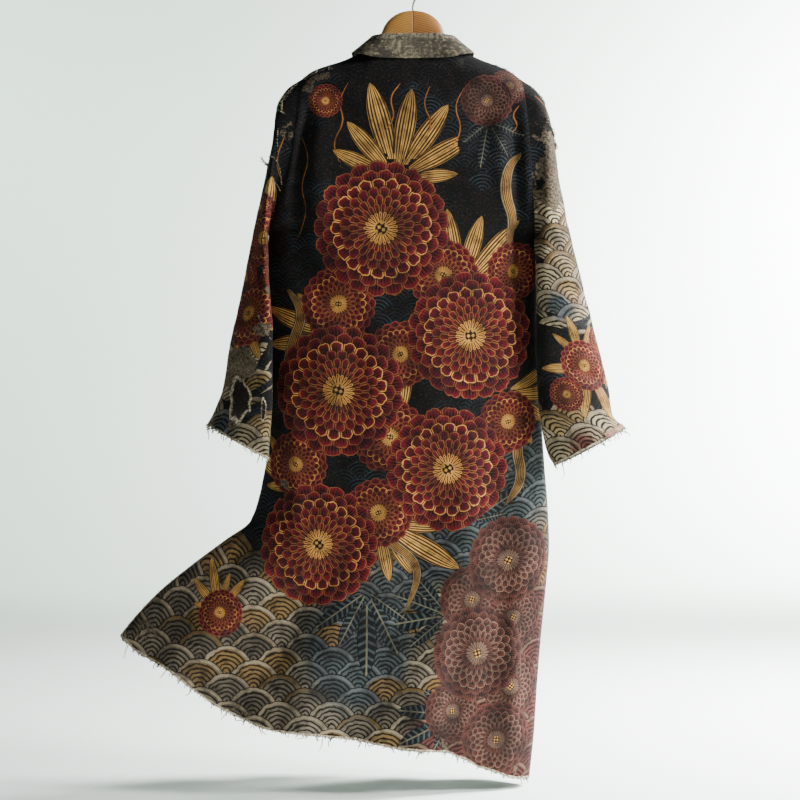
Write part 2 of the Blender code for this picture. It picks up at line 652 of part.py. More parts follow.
def build():
    """Make every piece of the coat and its hanger."""
    back, back_out = back_grid()
    left, left_out = front_grid(-1)
    right, right_out = front_grid(1)
    rings = {side: armhole_ring(back, left, right, side) for side in (-1, 1)}
    sleeves = {
        -1: sleeve_grid(LEFT_SLEEVE_ROWS, rings[-1][0], rings[-1][2], 0.0),
        1: sleeve_grid(RIGHT_SLEEVE_ROWS, rings[1][0], rings[1][2], RIGHT_CUFF_DROP),
    }
    fronts = ((left, left_out), (right, right_out))
    edge, edge_out, station, side = collar_seam(back, back_out, fronts)

    rows = ARMHOLE_ROWS + 1
    slit = int(np.searchsorted(down_stations(), SLIT_TOP))
    shoulders = (slice(0, SHOULDER_COLUMNS + 1), slice(-SHOULDER_COLUMNS - 1, None))
    for part in shoulders:
        parted(back, back_out, part, 0, -HALF_GAP)
    for grid, normals in fronts:
        parted(grid, normals, slice(None), 0, HALF_GAP)
    parted(back, back_out, 0, slice(rows - 1, slit), -HALF_GAP)
    parted(left, left_out, 0, slice(rows - 1, slit), HALF_GAP)
    left[0, slit:, 1] += SLIT_CLEAR
    parted(back, back_out, -1, slice(rows - 1, None), -HALF_GAP)
    parted(right, right_out, -1, slice(rows - 1, None), HALF_GAP)
    back_out[0, :rows], back_out[-1, :rows] = rings[-1][1][:rows], rings[1][1][:rows]
    left_out[0, :rows] = np.roll(rings[-1][1][::-1], 1, axis=0)[:rows]
    right_out[-1, :rows] = np.roll(rings[1][1][::-1], 1, axis=0)[:rows]

    cloth("back", back, back_out)
    cloth("front_left", left, left_out)
    cloth("front_right", right, right_out)

    for side_sign, grid in sleeves.items():
        normals = surface_normals(grid, 1, wrap=True)
        middle = grid.mean(axis=0)
        normals *= np.sign(np.sum(normals * (grid - middle)))
        normals[:, 0] = rings[side_sign][1]
        if side_sign > 0:
            cloth("sleeve_right", grid, normals, wrap=True)
            continue
        near, far = slice(0, rows), [0, *range(len(grid) - 1, ARMHOLE_ROWS - 1, -1)]
        for name, part, shift in (("back", near, -HALF_GAP), ("front", far, HALF_GAP)):
            points, outs = grid[part].copy(), normals[part].copy()
            for column in (0, -1):
                parted(points, outs, column, slice(None), shift)
            if name == "back":
                ripped_cloth("sleeve_left_back", points, outs, RIPS)
            else:
                cloth("sleeve_left_front", points, outs)

    neck_points = np.isclose(station, 0.0)
    edge_out[neck_points] = in_plane(edge_out[neck_points])
    cloth("collar", *collar_grid(edge, edge_out, station, side))
    hanger()
    hook()


for item in list(bpy.data.objects):
    bpy.data.objects.remove(item, do_unlink=True)
build()
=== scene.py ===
"""Looks of a long kimono coat on a wooden hanger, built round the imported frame.

Metres, +Z up, in the frame's own axes: the back of the coat faces -Y, and the origin is
the inside of the hanger's hook. Every cloth piece is a thin shell on the surface of the
node that it stands for, with finer folds, raw edges, tears and a woven design.
"""

import logging
import math
from dataclasses import dataclass
from enum import Enum
from typing import Any, Callable, Sequence

import bmesh
import bpy
import numpy as np
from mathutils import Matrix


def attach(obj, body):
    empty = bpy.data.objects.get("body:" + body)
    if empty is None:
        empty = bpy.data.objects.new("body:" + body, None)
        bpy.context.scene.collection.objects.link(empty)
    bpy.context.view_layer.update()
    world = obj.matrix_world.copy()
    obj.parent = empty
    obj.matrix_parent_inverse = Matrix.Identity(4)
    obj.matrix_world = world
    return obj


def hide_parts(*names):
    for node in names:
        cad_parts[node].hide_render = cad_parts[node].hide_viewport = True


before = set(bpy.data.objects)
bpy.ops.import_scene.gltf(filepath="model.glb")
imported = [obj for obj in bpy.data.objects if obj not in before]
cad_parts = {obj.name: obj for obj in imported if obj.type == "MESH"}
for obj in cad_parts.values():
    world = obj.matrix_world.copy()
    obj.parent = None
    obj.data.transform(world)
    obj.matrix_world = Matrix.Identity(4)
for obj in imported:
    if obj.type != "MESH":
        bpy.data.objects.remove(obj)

LOG = logging.getLogger("kimono")
Rows = Sequence[Sequence[Any]]
Colour = tuple[float, float, float]
Figures = list[dict[str, Any]]
Grid = np.ndarray
Material = bpy.types.Material
Piece = bpy.types.Object

MM = 0.001  # rows whose columns say _mm are in millimetres
CLOTH = 0.0022  # wall of the woven cloth
SEAM_GAP = 0.0003  # between two pieces at a seam
UNDERARM = 0.22  # share of the way down where the armhole ends
SLIT_TOP = 0.66  # share of the way down where the left slit starts
SLIT_CLEAR = 0.003  # how far the front's edge of the slit stands off the back's
SLIT_FADE = 0.03  # over what share down, and what distance in, that comes and goes
SHOULDER_ROLL = 0.035  # how soon the cloth turns down over the hanger
NECK_ROLL = 1.25  # how soon the back of the neck stands clear of the hanger
SHOULDER_FADE = 6  # power by which the shoulder line's shape fades down the body
HEM_FADE = 3  # power by which the hem's shape comes in
NECK_HALF = 0.086  # half width of the neck opening
ARMHOLE_SHARE = 0.80  # depth of the armhole as a share of the body's depth
SIDE_ROUND, SIDE_POWER = 2.4, 0.6  # how square the body's section is
FOLD_EDGE = 8  # power that keeps the folds off the side seams
ROW_GROWTH = 1.6  # rows lie closer together near the shoulder
SHARP = math.radians(50)  # edges sharper than this are not shaded round

ARMHOLE_ROWS = 46  # rows of the fine shells down the armhole
SKIRT_ROWS = 188
BACK_COLUMNS_FINE = 158
FRONT_COLUMNS_FINE = 74
SLEEVE_ROWS = 170

# Outline and depth of the back panel, a row for each level
BACK_COLUMNS = ("down", "left_x", "left_z", "right_x", "right_z", "left_y", "right_y", "depth")
BACK_ROWS = (
    (0.00, -0.196, -0.191, 0.1890, -0.191, 0.000, 0.000, 0.030),
    (0.07, -0.2025, -0.255, 0.1985, -0.255, 0.000, 0.000, 0.042),
    (0.13, -0.2140, -0.335, 0.2045, -0.335, 0.002, 0.002, 0.049),
    (0.18, -0.2315, -0.402, 0.2090, -0.405, 0.004, 0.004, 0.053),
    (0.22, -0.252, -0.457, 0.2135, -0.462, 0.006, 0.006, 0.056),
    (0.26, -0.2555, -0.505, 0.2165, -0.514, 0.008, 0.008, 0.057),
    (0.36, -0.251, -0.630, 0.2190, -0.650, 0.011, 0.011, 0.060),
    (0.52, -0.252, -0.810, 0.2305, -0.860, 0.012, 0.012, 0.065),
    (0.60, -0.2655, -0.900, 0.2365, -0.935, 0.012, 0.012, 0.069),
    (0.64, -0.278, -0.947, 0.2385, -0.980, 0.011, 0.010, 0.071),
    (0.66, -0.285, -0.963, 0.2390, -1.005, 0.010, 0.010, 0.072),
    (0.72, -0.328, -0.995, 0.2335, -1.075, 0.003, 0.008, 0.076),
    (0.80, -0.391, -1.042, 0.2240, -1.170, -0.008, 0.006, 0.082),
    (0.88, -0.442, -1.084, 0.2170, -1.255, -0.019, 0.004, 0.088),
    (0.94, -0.480, -1.124, 0.2125, -1.325, -0.028, 0.002, 0.092),
    (1.00, -0.507, -1.157, 0.2035, -1.4105, -0.035, 0.000, 0.095),
)

# The fronts share the back's edges as far as the slit, then hang straight on the left
FRONT_DEPTHS = ((0.00, 0.032), (0.10, 0.045), (0.22, 0.050), (0.52, 0.062), (0.80, 0.080), (1.00, 0.092))
FRONT_LEFT_ROWS = (
    (0.72, -0.292, -1.014, 0.012),
    (0.80, -0.307, -1.083, 0.015),
    (0.88, -0.323, -1.152, 0.018),
    (0.94, -0.335, -1.203, 0.020),
    (1.00, -0.345, -1.255, 0.022),
)

# Height of the shoulder line and of the back's neck edge across the body: x, z
SHOULDER_LINE = (
    (-0.196, -0.191), (-0.175, -0.1755), (-0.124, -0.158), (-0.086, -0.145), (-0.050, -0.148),
    (0.000, -0.149), (0.050, -0.148), (0.086, -0.145), (0.124, -0.158), (0.166, -0.1745),
    (0.189, -0.191),
)

# Hems across the body: x, z
BACK_HEM = (
    (-0.507, -1.157), (-0.479, -1.179), (-0.418, -1.209), (-0.374, -1.242), (-0.323, -1.277),
    (-0.246, -1.308), (-0.191, -1.3155), (-0.104, -1.328), (-0.021, -1.344), (0.054, -1.352),
    (0.085, -1.365), (0.115, -1.383), (0.139, -1.3915), (0.1765, -1.4065), (0.2035, -1.4105),
)
FRONT_HEM = (
    (-0.345, -1.255), (-0.250, -1.300), (-0.060, -1.332), (0.060, -1.345), (0.150, -1.385),
    (0.2035, -1.4105),
)

# Half gap between the seams of the two front bands: down, x
FRONT_OPENING = ((0.00, 0.086), (0.05, 0.078), (0.12, 0.071), (0.22, 0.067), (0.60, 0.064), (1.00, 0.066))

# Large folds: place across at the hem, lean towards the top, width, depth, where each starts
FOLD_COLUMNS = ("place", "lean", "width", "depth", "start")
BACK_FOLDS = (
    (0.14, 0.05, 0.045, 0.014, 0.62),
    (0.29, 0.07, 0.050, -0.012, 0.52),
    (0.43, 0.04, 0.060, 0.011, 0.40),
    (0.58, 0.01, 0.050, -0.009, 0.34),
    (0.72, -0.03, 0.055, 0.012, 0.30),
    (0.88, -0.04, 0.045, -0.010, 0.36),
)
FRONT_FOLDS = (
    (0.10, 0.03, 0.050, 0.012, 0.50),
    (0.24, 0.04, 0.055, -0.012, 0.36),
    (0.36, 0.02, 0.040, 0.009, 0.42),
    (0.66, -0.02, 0.045, 0.010, 0.38),
    (0.79, -0.04, 0.050, -0.012, 0.34),
    (0.92, -0.03, 0.045, 0.011, 0.48),
)

# Sleeves: outer and inner fold in the plane of the coat, and half depth
SLEEVE_COLUMNS = ("along", "outer_x", "outer_z", "inner_x", "inner_z", "inner_y", "depth")
LEFT_SLEEVE_ROWS = (
    (0.00, -0.1960, -0.191, -0.2520, -0.457, 0.006, 0.034),
    (0.05, -0.2205, -0.208, -0.2526, -0.459, 0.005, 0.035),
    (0.11, -0.2380, -0.240, -0.2530, -0.464, 0.002, 0.036),
    (0.20, -0.2450, -0.296, -0.2530, -0.477, -0.006, 0.037),
    (0.30, -0.2555, -0.348, -0.2530, -0.500, -0.022, 0.036),
    (0.45, -0.2750, -0.436, -0.2482, -0.556, -0.042, 0.034),
    (0.62, -0.2975, -0.550, -0.2425, -0.642, -0.048, 0.033),
    (0.80, -0.3220, -0.663, -0.2430, -0.742, -0.046, 0.034),
    (0.90, -0.3325, -0.7315, -0.2460, -0.798, -0.044, 0.035),
    (0.96, -0.3510, -0.777, -0.2485, -0.832, -0.043, 0.036),
    (1.00, -0.3600, -0.793, -0.2495, -0.853, -0.042, 0.037),
)
RIGHT_SLEEVE_ROWS = (
    (0.00, 0.1890, -0.191, 0.2135, -0.462, 0.006, 0.034),
    (0.05, 0.2135, -0.208, 0.2128, -0.464, 0.005, 0.035),
    (0.11, 0.2320, -0.236, 0.2120, -0.469, 0.002, 0.036),
    (0.20, 0.2450, -0.287, 0.2115, -0.482, -0.006, 0.037),
    (0.30, 0.2535, -0.348, 0.2125, -0.503, -0.014, 0.037),
    (0.45, 0.2695, -0.436, 0.2140, -0.557, -0.022, 0.036),
    (0.62, 0.2975, -0.550, 0.2135, -0.645, -0.024, 0.035),
    (0.80, 0.3255, -0.663, 0.2170, -0.751, -0.024, 0.035),
    (0.90, 0.3430, -0.733, 0.2250, -0.808, -0.024, 0.036),
    (0.96, 0.3490, -0.775, 0.2345, -0.845, -0.024, 0.037),
    (1.00, 0.3690, -0.800, 0.2450, -0.8635, -0.024, 0.038),
)
ARMHOLE_BLEND = 0.35  # share of the sleeve that turns from the armhole to a flat tube
SLEEVE_FLATNESS = 0.85  # power that squares the sleeve's section a little
RIGHT_CUFF_DROP = 0.008  # how far the far wall of the right cuff hangs below the near one
CUFF_START = 0.8  # share of the sleeve where that drop begins

# Rips in the back of the left sleeve, in places of the frame's own coarse grid
RIP_GRID = (12, 22)  # columns round half the sleeve and rows along it
RIP_HALF = 0.016  # rough half size of a rip
RIP_COLUMNS = ("column", "columns", "row", "rows", "wide", "tall")
RIPS = (
    (3, 4, 18, 3, 0.72, 0.66),
    (8, 2, 18, 2, 0.46, 0.62),
)

# Collar band: path of its stand and of its fall from the seam, on the +X side
COLLAR_COLUMNS = (
    "station", "stand_x", "stand_y", "stand_z", "fall_x", "fall_y", "fall_z", "stand", "fall"
)
COLLAR_ROWS = (
    (-1.000, 0.00, 0.08, 1.00, 0.00, -0.05, -1.00, 0.0335, 0.040),
    (-0.500, -0.10, 0.08, 1.00, 0.20, -0.10, -1.00, 0.0330, 0.041),
    (-0.150, -0.40, 0.06, 0.91, 0.60, -0.22, -0.77, 0.0315, 0.042),
    (0.000, -0.52, 0.05, 0.85, 0.77, 0.00, -0.63, 0.0310, 0.041),
    (0.004, -0.60, 0.20, 0.77, 0.79, 0.08, -0.60, 0.0300, 0.041),
    (0.013, -0.70, 0.28, 0.65, 0.87, 0.10, -0.48, 0.0300, 0.040),
    (0.024, -0.80, 0.28, 0.52, 0.93, 0.08, -0.34, 0.0300, 0.040),
    (0.038, -0.90, 0.22, 0.35, 0.97, 0.05, -0.22, 0.0300, 0.038),
    (0.060, -0.97, 0.12, 0.16, 1.00, 0.02, -0.10, 0.0300, 0.036),
    (0.110, -1.00, 0.03, 0.00, 1.00, 0.02, 0.00, 0.0300, 0.035),
    (1.000, -1.00, 0.03, 0.00, 1.00, 0.02, 0.00, 0.0300, 0.035),
)

# Wooden hanger: top, foot and half thickness at each place across
HANGER_COLUMNS = ("across", "top", "foot", "thick")
HANGER_MIDDLE = (
    (0.000, -0.0691, -0.158, 0.0135),
    (0.014, -0.0706, -0.158, 0.0135),
    (0.027, -0.0748, -0.159, 0.0133),
    (0.040, -0.0835, -0.161, 0.0130),
    (0.049, -0.0945, -0.163, 0.0127),
    (0.0545, -0.1065, -0.164, 0.0124),
    (0.0580, -0.1180, -0.165, 0.0122),
    (0.0640, -0.1350, -0.167, 0.0118),
    (0.0740, -0.1485, -0.172, 0.0105),
)

# Figures of the design: place across and down the piece, sizes, and turns in degrees
HEAD_COLUMNS = ("p_mm", "q_mm", "size_mm", "turn")
SPRAY_COLUMNS = ("p_mm", "q_mm", "heading", "fan", "count", "length_mm", "tone")
BLOB_COLUMNS = ("p_mm", "q_mm", "radius_mm", "value")
CREASE_COLUMNS = ("p_mm", "q_mm", "end_p_mm", "end_q_mm", "width_mm", "depth_mm")
LEAF_SLENDER = 0.25  # half width of a leaf as a share of its half length
LEAF_CLAIM = 0.325  # the same for the ground that a leaf keeps to itself
LEAF_TAPER = 0.56  # how much shorter the outer leaves of a fan are
LEAF_REACH = 0.56  # from a fan's root to a leaf's middle, in its length
TENDRIL = 0.8  # half width of a tendril, in millimetres
RIBBON_CLAIM = 0.022  # how far a streamer's own marks reach
FAR = 9.0  # the mark where no figure is near

# Cut of each piece: flat width and length, its flat area, and what it hangs from
CUT_COLUMNS = ("piece", "slot", "nodes", "flat", "area", "rests_on")
CUTS = (
    ("back", "figured_cloth", ("back",), (0.72, 1.26), 0.640, "hanger"),
    ("front_left", "figured_cloth", ("front_left",), (0.30, 1.18), 0.240, "hanger"),
    ("front_right", "figured_cloth", ("front_right",), (0.18, 1.26), 0.198, "hanger"),
    (
        "sleeve_left", "sleeve_cloth", ("sleeve_left_back", "sleeve_left_front"), (0.28, 0.66), 0.125,
        "back",
    ),
    ("sleeve_right", "sleeve_cloth", ("sleeve_right",), (0.29, 0.68), 0.143, "back"),
    ("collar", "collar_cloth", ("collar",), (0.078, 2.62), 0.190, "back"),
)

# Worn seams and tears that show their threads, with x and z in millimetres of points along each
FRAY_COLUMNS = ("per_metre", "longest_mm", "points")
FRAYS = {
    "back": (
        (2400, 8, ((-140, -173.5), (-165, -179), (-190, -192))),
        (1600, 7, ((140, -166), (165, -176), (187, -193))),
    ),
    "sleeve_left": (
        (2800, 9, ((-200, -199), (-219, -218), (-236, -245))),
        (2600, 6, ((-212, -216), (-229, -225), (-236, -242), (-220, -256))),
        (2200, 5, ((-218, -223), (-227, -233), (-228, -248))),
        (1300, 4, ((-234.5, -280), (-235, -305), (-234, -330))),
        (2000, 9, ((-266, -326), (-260, -333), (-254, -339))),
        (1700, 5, ((-250, -325.5), (-237, -336), (-230, -358), (-228, -378))),
        (1500, 5, ((-243, -370), (-235, -379), (-230, -389))),
        (1200, 5, ((-268, -600), (-256, -628), (-244, -647))),
        (900, 14, ((-358, -793), (-349, -798), (-340, -802))),
    ),
    "sleeve_right": (
        (1800, 8, ((202, -203), (218, -216), (230, -233))),
        (2400, 11, ((230, -260), (243, -285), (249, -312))),
        (1400, 6, ((327, -680), (332, -706), (336, -730))),
        (900, 16, ((352, -808), (359, -805), (365, -801))),
    ),
}

# Threads along every hem, cuff and slit: how many a metre, shortest, longest, loose, rare, thick
HEM_THREADS = (
    (1300, 0.0016, 0.0050), (130, 0.004, 0.013, 0.7, 2.0, 3.2),
    (36, 0.008, 0.020, 0.7, 1.5, 3.8), (7, 0.018, 0.032, 0.4, 1.0, 3.4),
)
SLIT_THREADS = ((900, 0.0012, 0.004), (60, 0.003, 0.009, 0.6, 2.0, 1.5))
COLLAR_THREADS = (500, 0.0015, 0.005)
RIP_THREADS = (1600, 0.0012, 0.0055, 0.5, 2.5)
FRAY_SHORTEST = 0.0015
FRAY_LEAN = (0.7, 2.0, 1.9)  # loose, rare and thick of the worn seams' threads

# Rubbed patches of the collar band, along it and up it
COLLAR_WEAR = (
    (1180, 50, 50, 0.8), (1310, 45, 60, 0.7), (1440, 50, 50, 0.9), (300, 45, 80, 0.6), (800, 45, 90, 0.5),
    (1900, 45, 80, 0.6), (2350, 45, 70, 0.5),
)


class Tone(Enum):
    """Which colours a flower head is woven in."""

    CRIMSON = 0.0
    ROSE = 1.0


class Leaf(Enum):
    """Which colours a leaf is woven in."""

    GOLD = 0.0
    SLATE = 1.0


Flowers = dict[Tone, Rows]


@dataclass(frozen=True)
class Design:
    """What is woven into one piece, in millimetres across (p) and down (q) it.

    Args:
        blooms: rows of HEAD_COLUMNS for each tone, one for each flower head.
        buds: more of them, which lie under the others.
        sprays: rows of SPRAY_COLUMNS, one for each fan of leaves.
        tendrils: points of each thin bright line.
        shore: points of a line below which the wave scales cover everything.
        tints: rows of BLOB_COLUMNS; -1 turns the wave scales slate, +1 turns them rose.
        wear: rows of BLOB_COLUMNS, the places where the cloth is rubbed pale.
        creases: rows of CREASE_COLUMNS, soft troughs (depth below 0) and ridges.
        streamers: half width and points of each.
        waves: (p, q, radius) of more ground that the wave scales cover.
    """

    blooms: Flowers
    buds: Flowers
    sprays: Rows
    tendrils: Sequence[Rows]
    shore: Rows
    tints: Rows
    wear: Rows
    creases: Rows
    streamers: Sequence[tuple[float, Rows]] = ()
    waves: Rows = ()


BACK_DESIGN = Design(
    blooms={
        Tone.CRIMSON: (
            (-55, 455, 118, 12), (100, 640, 112, 50), (-130, 735, 115, 28), (60, 870, 108, 75),
            (-165, 1000, 105, 6), (-152, 232, 30, 25), (-335, 1120, 40, 25),
        ),
        Tone.ROSE: ((172, 1030, 77, 20), (118, 1188, 83, 60), (156, 1340, 66, 40), (128, 232, 46, 15)),
    },
    buds={
        Tone.CRIMSON: (
            (52, 535, 62, 15), (-130, 585, 66, 40), (-22, 672, 58, 70), (180, 530, 52, 10), (-40, 815, 66, 35),
            (168, 790, 54, 55), (-205, 865, 56, 20), (-60, 945, 60, 65),
        ),
        Tone.ROSE: (
            (105, 1095, 60, 30), (182, 1130, 56, 15), (75, 1285, 54, 45), (180, 1250, 60, 5), (168, 205, 34, 5),
        ),
    },
    sprays=(
        (-30, 370, 80, 150, 7, 165, Leaf.GOLD), (80, 560, 60, 130, 6, 150, Leaf.GOLD),
        (-130, 640, 190, 110, 5, 140, Leaf.GOLD), (-10, 640, 265, 50, 3, 120, Leaf.GOLD),
        (160, 740, 340, 80, 4, 125, Leaf.GOLD), (-180, 900, 150, 70, 4, 130, Leaf.GOLD),
        (-60, 960, 330, 100, 5, 140, Leaf.GOLD), (100, 960, 30, 40, 3, 100, Leaf.SLATE),
        (-80, 1080, 270, 110, 5, 130, Leaf.SLATE), (60, 1120, 175, 90, 4, 120, Leaf.SLATE),
        (80, 1290, 190, 90, 4, 110, Leaf.SLATE), (-335, 1115, 110, 120, 5, 80, Leaf.GOLD),
        (130, 270, 280, 120, 4, 80, Leaf.SLATE),
    ),
    tendrils=(
        ((-112, 200), (-130, 235), (-118, 270), (-140, 305), (-128, 340)),
        ((-20, 200), (-42, 228), (-30, 262), (-52, 292)), ((30, 205), (16, 240), (34, 272), (20, 305)),
        ((88, 210), (70, 245), (86, 282), (66, 318)),
        ((-196, 290), (-178, 335), (-198, 380), (-182, 425), (-204, 470)),
        ((184, 240), (171, 258), (184, 274), (174, 288)),
    ),
    streamers=(
        (10, ((190, 322), (164, 348), (158, 395), (178, 440), (166, 500))),
        (9, ((-222, 560), (-190, 600), (-215, 660), (-232, 720))),
        (9.5, ((215, 790), (180, 830), (196, 890), (168, 930))),
        (8.5, ((-230, 850), (-205, 890), (-30, 1000), (15, 1040), (-10, 1110))),
    ),
    shore=(
        (-520, 960), (-360, 990), (-280, 1030), (-190, 1020), (-90, 1000), (0, 960), (80, 900), (150, 800),
        (250, 740),
    ),
    tints=(
        (170, 840, 130, -1), (60, 990, 110, -1), (-80, 1180, 100, -1), (170, 1150, 150, 1), (150, 1350, 130, 1),
    ),
    wear=(
        (-152, 186, 10, 0.8), (-168, 193, 11, 0.8), (-186, 207, 12, 0.9), (-480, 1150, 30, 0.55),
        (196, 1395, 16, 0.6), (186, 212, 9, 0.8), (-300, 1290, 30, 0.5), (60, 1345, 22, 0.55),
        (-130, 1310, 20, 0.5), (-225, 905, 16, 0.6),
    ),
    creases=(
        (180, 235, 188, 600, 13, -11), (150, 260, 165, 480, 16, 4), (-184, 225, -205, 500, 13, -10.5),
        (-155, 260, -170, 470, 18, 4), (-170, 200, -80, 300, 20, -3.7), (160, 205, 90, 330, 22, -4.1),
        (-230, 500, -120, 600, 22, -5.1), (195, 520, 110, 570, 18, -4.4), (-235, 700, -190, 1000, 22, 5.9),
        (-100, 560, -130, 940, 30, -4.8), (30, 500, 20, 860, 34, 4.4), (140, 720, 165, 1180, 26, -5.8),
        (-270, 980, -400, 1080, 24, -6.8), (-250, 1040, -360, 1190, 26, 6.8),
        (-200, 1060, -240, 1270, 26, -5.8), (-40, 1000, -60, 1300, 30, 5.1), (70, 1060, 80, 1340, 24, -5.1),
        (185, 1080, 180, 1360, 16, 4.4),
    ),
)

LEFT_FRONT_DESIGN = Design(
    blooms={
        Tone.CRIMSON: ((-165, 420, 60, 40), (-160, 660, 80, 15), (-150, 900, 76, 65)),
        Tone.ROSE: ((-210, 1120, 68, 30), (-110, 1210, 44, 50), (-125, 235, 34, 10)),
    },
    buds={
        Tone.CRIMSON: ((-110, 500, 44, 15), (-200, 545, 48, 40), (-110, 780, 48, 25), (-220, 800, 46, 60)),
        Tone.ROSE: ((-150, 1080, 46, 20), (-270, 1190, 44, 50)),
    },
    sprays=(
        (-165, 400, 75, 160, 6, 120, Leaf.GOLD), (-160, 660, 255, 200, 7, 140, Leaf.GOLD),
        (-150, 900, 90, 110, 4, 130, Leaf.GOLD), (-150, 1000, 250, 120, 5, 120, Leaf.SLATE),
        (-250, 1160, 200, 110, 4, 100, Leaf.SLATE),
    ),
    tendrils=(((-100, 250), (-120, 290), (-96, 330), (-112, 370)), ((-190, 250), (-165, 300), (-195, 345))),
    streamers=(
        (8.5, ((-225, 500), (-200, 540), (-150, 545), (-100, 520))),
        (8.5, ((-235, 760), (-215, 790), (-110, 785), (-80, 810))),
    ),
    shore=((-360, 1020), (-250, 1000), (-160, 980), (-60, 990)),
    tints=((-250, 1030, 100, -1), (-200, 1200, 120, 1)),
    wear=((-80, 1310, 50, 0.7), (-320, 1220, 50, 0.6), (-200, 260, 30, 0.8)),
    creases=(
        (-180, 215, -110, 340, 20, -4.1), (-215, 480, -120, 560, 20, -4.8), (-190, 560, -200, 960, 24, 4.8),
        (-110, 600, -120, 1000, 22, -4.4), (-250, 1000, -280, 1230, 20, -5.1),
        (-150, 1020, -160, 1270, 24, 4.8),
    ),
)

RIGHT_FRONT_DESIGN = Design(
    blooms={
        Tone.CRIMSON: ((145, 350, 52, 30), (150, 560, 62, 10), (155, 780, 72, 55)),
        Tone.ROSE: ((150, 1000, 66, 25), (140, 1200, 68, 35), (130, 230, 34, 20)),
    },
    buds={
        Tone.CRIMSON: (
            (185, 455, 46, 15), (105, 470, 36, 40), (110, 670, 48, 25), (200, 680, 44, 60), (105, 890, 46, 20),
        ),
        Tone.ROSE: ((190, 1100, 48, 50), (105, 1110, 40, 50), (180, 1290, 48, 50)),
    },
    sprays=(
        (145, 350, 260, 180, 6, 110, Leaf.GOLD), (150, 560, 270, 150, 5, 120, Leaf.GOLD),
        (155, 800, 90, 170, 6, 130, Leaf.GOLD), (150, 1000, 270, 170, 6, 115, Leaf.SLATE),
        (140, 1240, 180, 130, 4, 100, Leaf.SLATE),
    ),
    tendrils=(
        ((100, 240), (118, 280), (94, 310), (104, 350)), ((185, 240), (170, 280), (192, 320), (176, 360)),
    ),
    streamers=(
        (8.5, ((80, 450), (120, 462), (170, 450), (205, 470))),
        (8.5, ((80, 890), (120, 905), (180, 892), (225, 905))),
    ),
    shore=((60, 1000), (120, 970), (180, 940), (250, 920)),
    tints=((190, 980, 100, -1), (130, 1280, 130, 1)),
    wear=((180, 1370, 50, 0.7), (190, 250, 25, 0.8), (90, 1330, 40, 0.5)),
    creases=(
        (170, 210, 100, 330, 20, -4.1), (200, 480, 110, 550, 20, -4.8), (180, 560, 190, 940, 22, 4.4),
        (110, 580, 115, 980, 22, -4.4), (185, 1000, 180, 1320, 20, -4.8), (110, 1040, 120, 1300, 22, 4.4),
    ),
)

LEFT_SLEEVE_DESIGN = Design(
    blooms={
        Tone.CRIMSON: ((45, 280, 50, 20), (50, 410, 58, 50), (-60, 200, 46, 20), (-65, 400, 54, 70)),
        Tone.ROSE: ((-60, 560, 36, 20),),
    },
    buds={
        Tone.CRIMSON: ((12, 345, 36, 20), (88, 345, 34, 60), (20, 225, 26, 10), (-20, 320, 40, 35)),
    },
    sprays=(
        (40, 270, 95, 150, 5, 90, Leaf.GOLD), (50, 420, 300, 90, 3, 85, Leaf.GOLD),
        (-60, 200, 270, 160, 5, 90, Leaf.GOLD), (-65, 400, 270, 170, 5, 95, Leaf.SLATE),
    ),
    tendrils=(
        ((4, 60), (14, 95), (3, 130), (18, 165), (8, 200)), ((38, 100), (30, 140), (44, 175)),
        ((78, 530), (60, 546), (76, 566), (55, 585)), ((-50, 60), (-30, 90), (-45, 120)),
    ),
    shore=((-200, 560), (-60, 570), (20, 575), (100, 600), (200, 600)),
    waves=((55, 520, 30), (-30, 300, 40)),
    tints=((55, 600, 40, -0.5), (-30, 300, 80, -0.8)),
    wear=(
        (30, 505, 34, 1), (62, 495, 30, 1), (85, 440, 16, 0.8), (86, 370, 14, 0.7), (40, 95, 18, 0.6),
        (6, 70, 14, 0.6), (70, 600, 30, 0.6), (-60, 480, 50, 0.8),
    ),
    creases=(
        (10, 300, 110, 250, 16, -5.1), (0, 360, 100, 330, 14, -5.8), (10, 430, 110, 440, 16, 4.8),
        (60, 100, 75, 300, 18, -4.8), (20, 500, 100, 540, 14, -4.4), (-10, 300, -110, 260, 16, -5.1),
        (-10, 400, -100, 380, 16, -4.8), (-60, 120, -70, 320, 18, 4.4),
    ),
)

RIGHT_SLEEVE_DESIGN = Design(
    blooms={
        Tone.CRIMSON: ((55, 500, 44, 35), (-60, 180, 48, 20), (-65, 360, 52, 60)),
        Tone.ROSE: ((-60, 540, 42, 20),),
    },
    buds={
        Tone.CRIMSON: ((100, 550, 30, 20), (12, 455, 24, 50), (-20, 270, 36, 10)),
    },
    sprays=(
        (55, 505, 265, 190, 6, 92, Leaf.GOLD), (55, 490, 80, 70, 3, 80, Leaf.GOLD),
        (-60, 180, 270, 170, 5, 90, Leaf.GOLD), (-65, 360, 270, 170, 5, 90, Leaf.SLATE),
    ),
    tendrils=(((28, 30), (12, 52), (26, 80)), ((-50, 60), (-30, 90), (-45, 120))),
    shore=((-200, 540), (-60, 560), (30, 585), (100, 585), (200, 590)),
    waves=((30, 300, 50), (70, 370, 42), (55, 240, 30), (-20, 260, 40)),
    tints=((100, 640, 30, 0.5), (75, 400, 30, -0.6)),
    wear=(
        (18, 110, 30, 0.95), (30, 165, 30, 0.9), (45, 215, 26, 0.8), (20, 190, 22, 0.7), (60, 620, 22, 0.6),
        (-60, 500, 50, 0.8),
    ),
    creases=(
        (10, 310, 110, 260, 16, -4.8), (0, 370, 100, 350, 14, -5.8), (10, 440, 110, 430, 16, 4.8),
        (80, 60, 100, 300, 18, -6.8), (20, 520, 100, 500, 14, -4.4), (-10, 300, -110, 260, 16, -5.1),
        (-10, 400, -100, 380, 16, -4.8), (-60, 120, -70, 320, 18, 4.4),
    ),
)


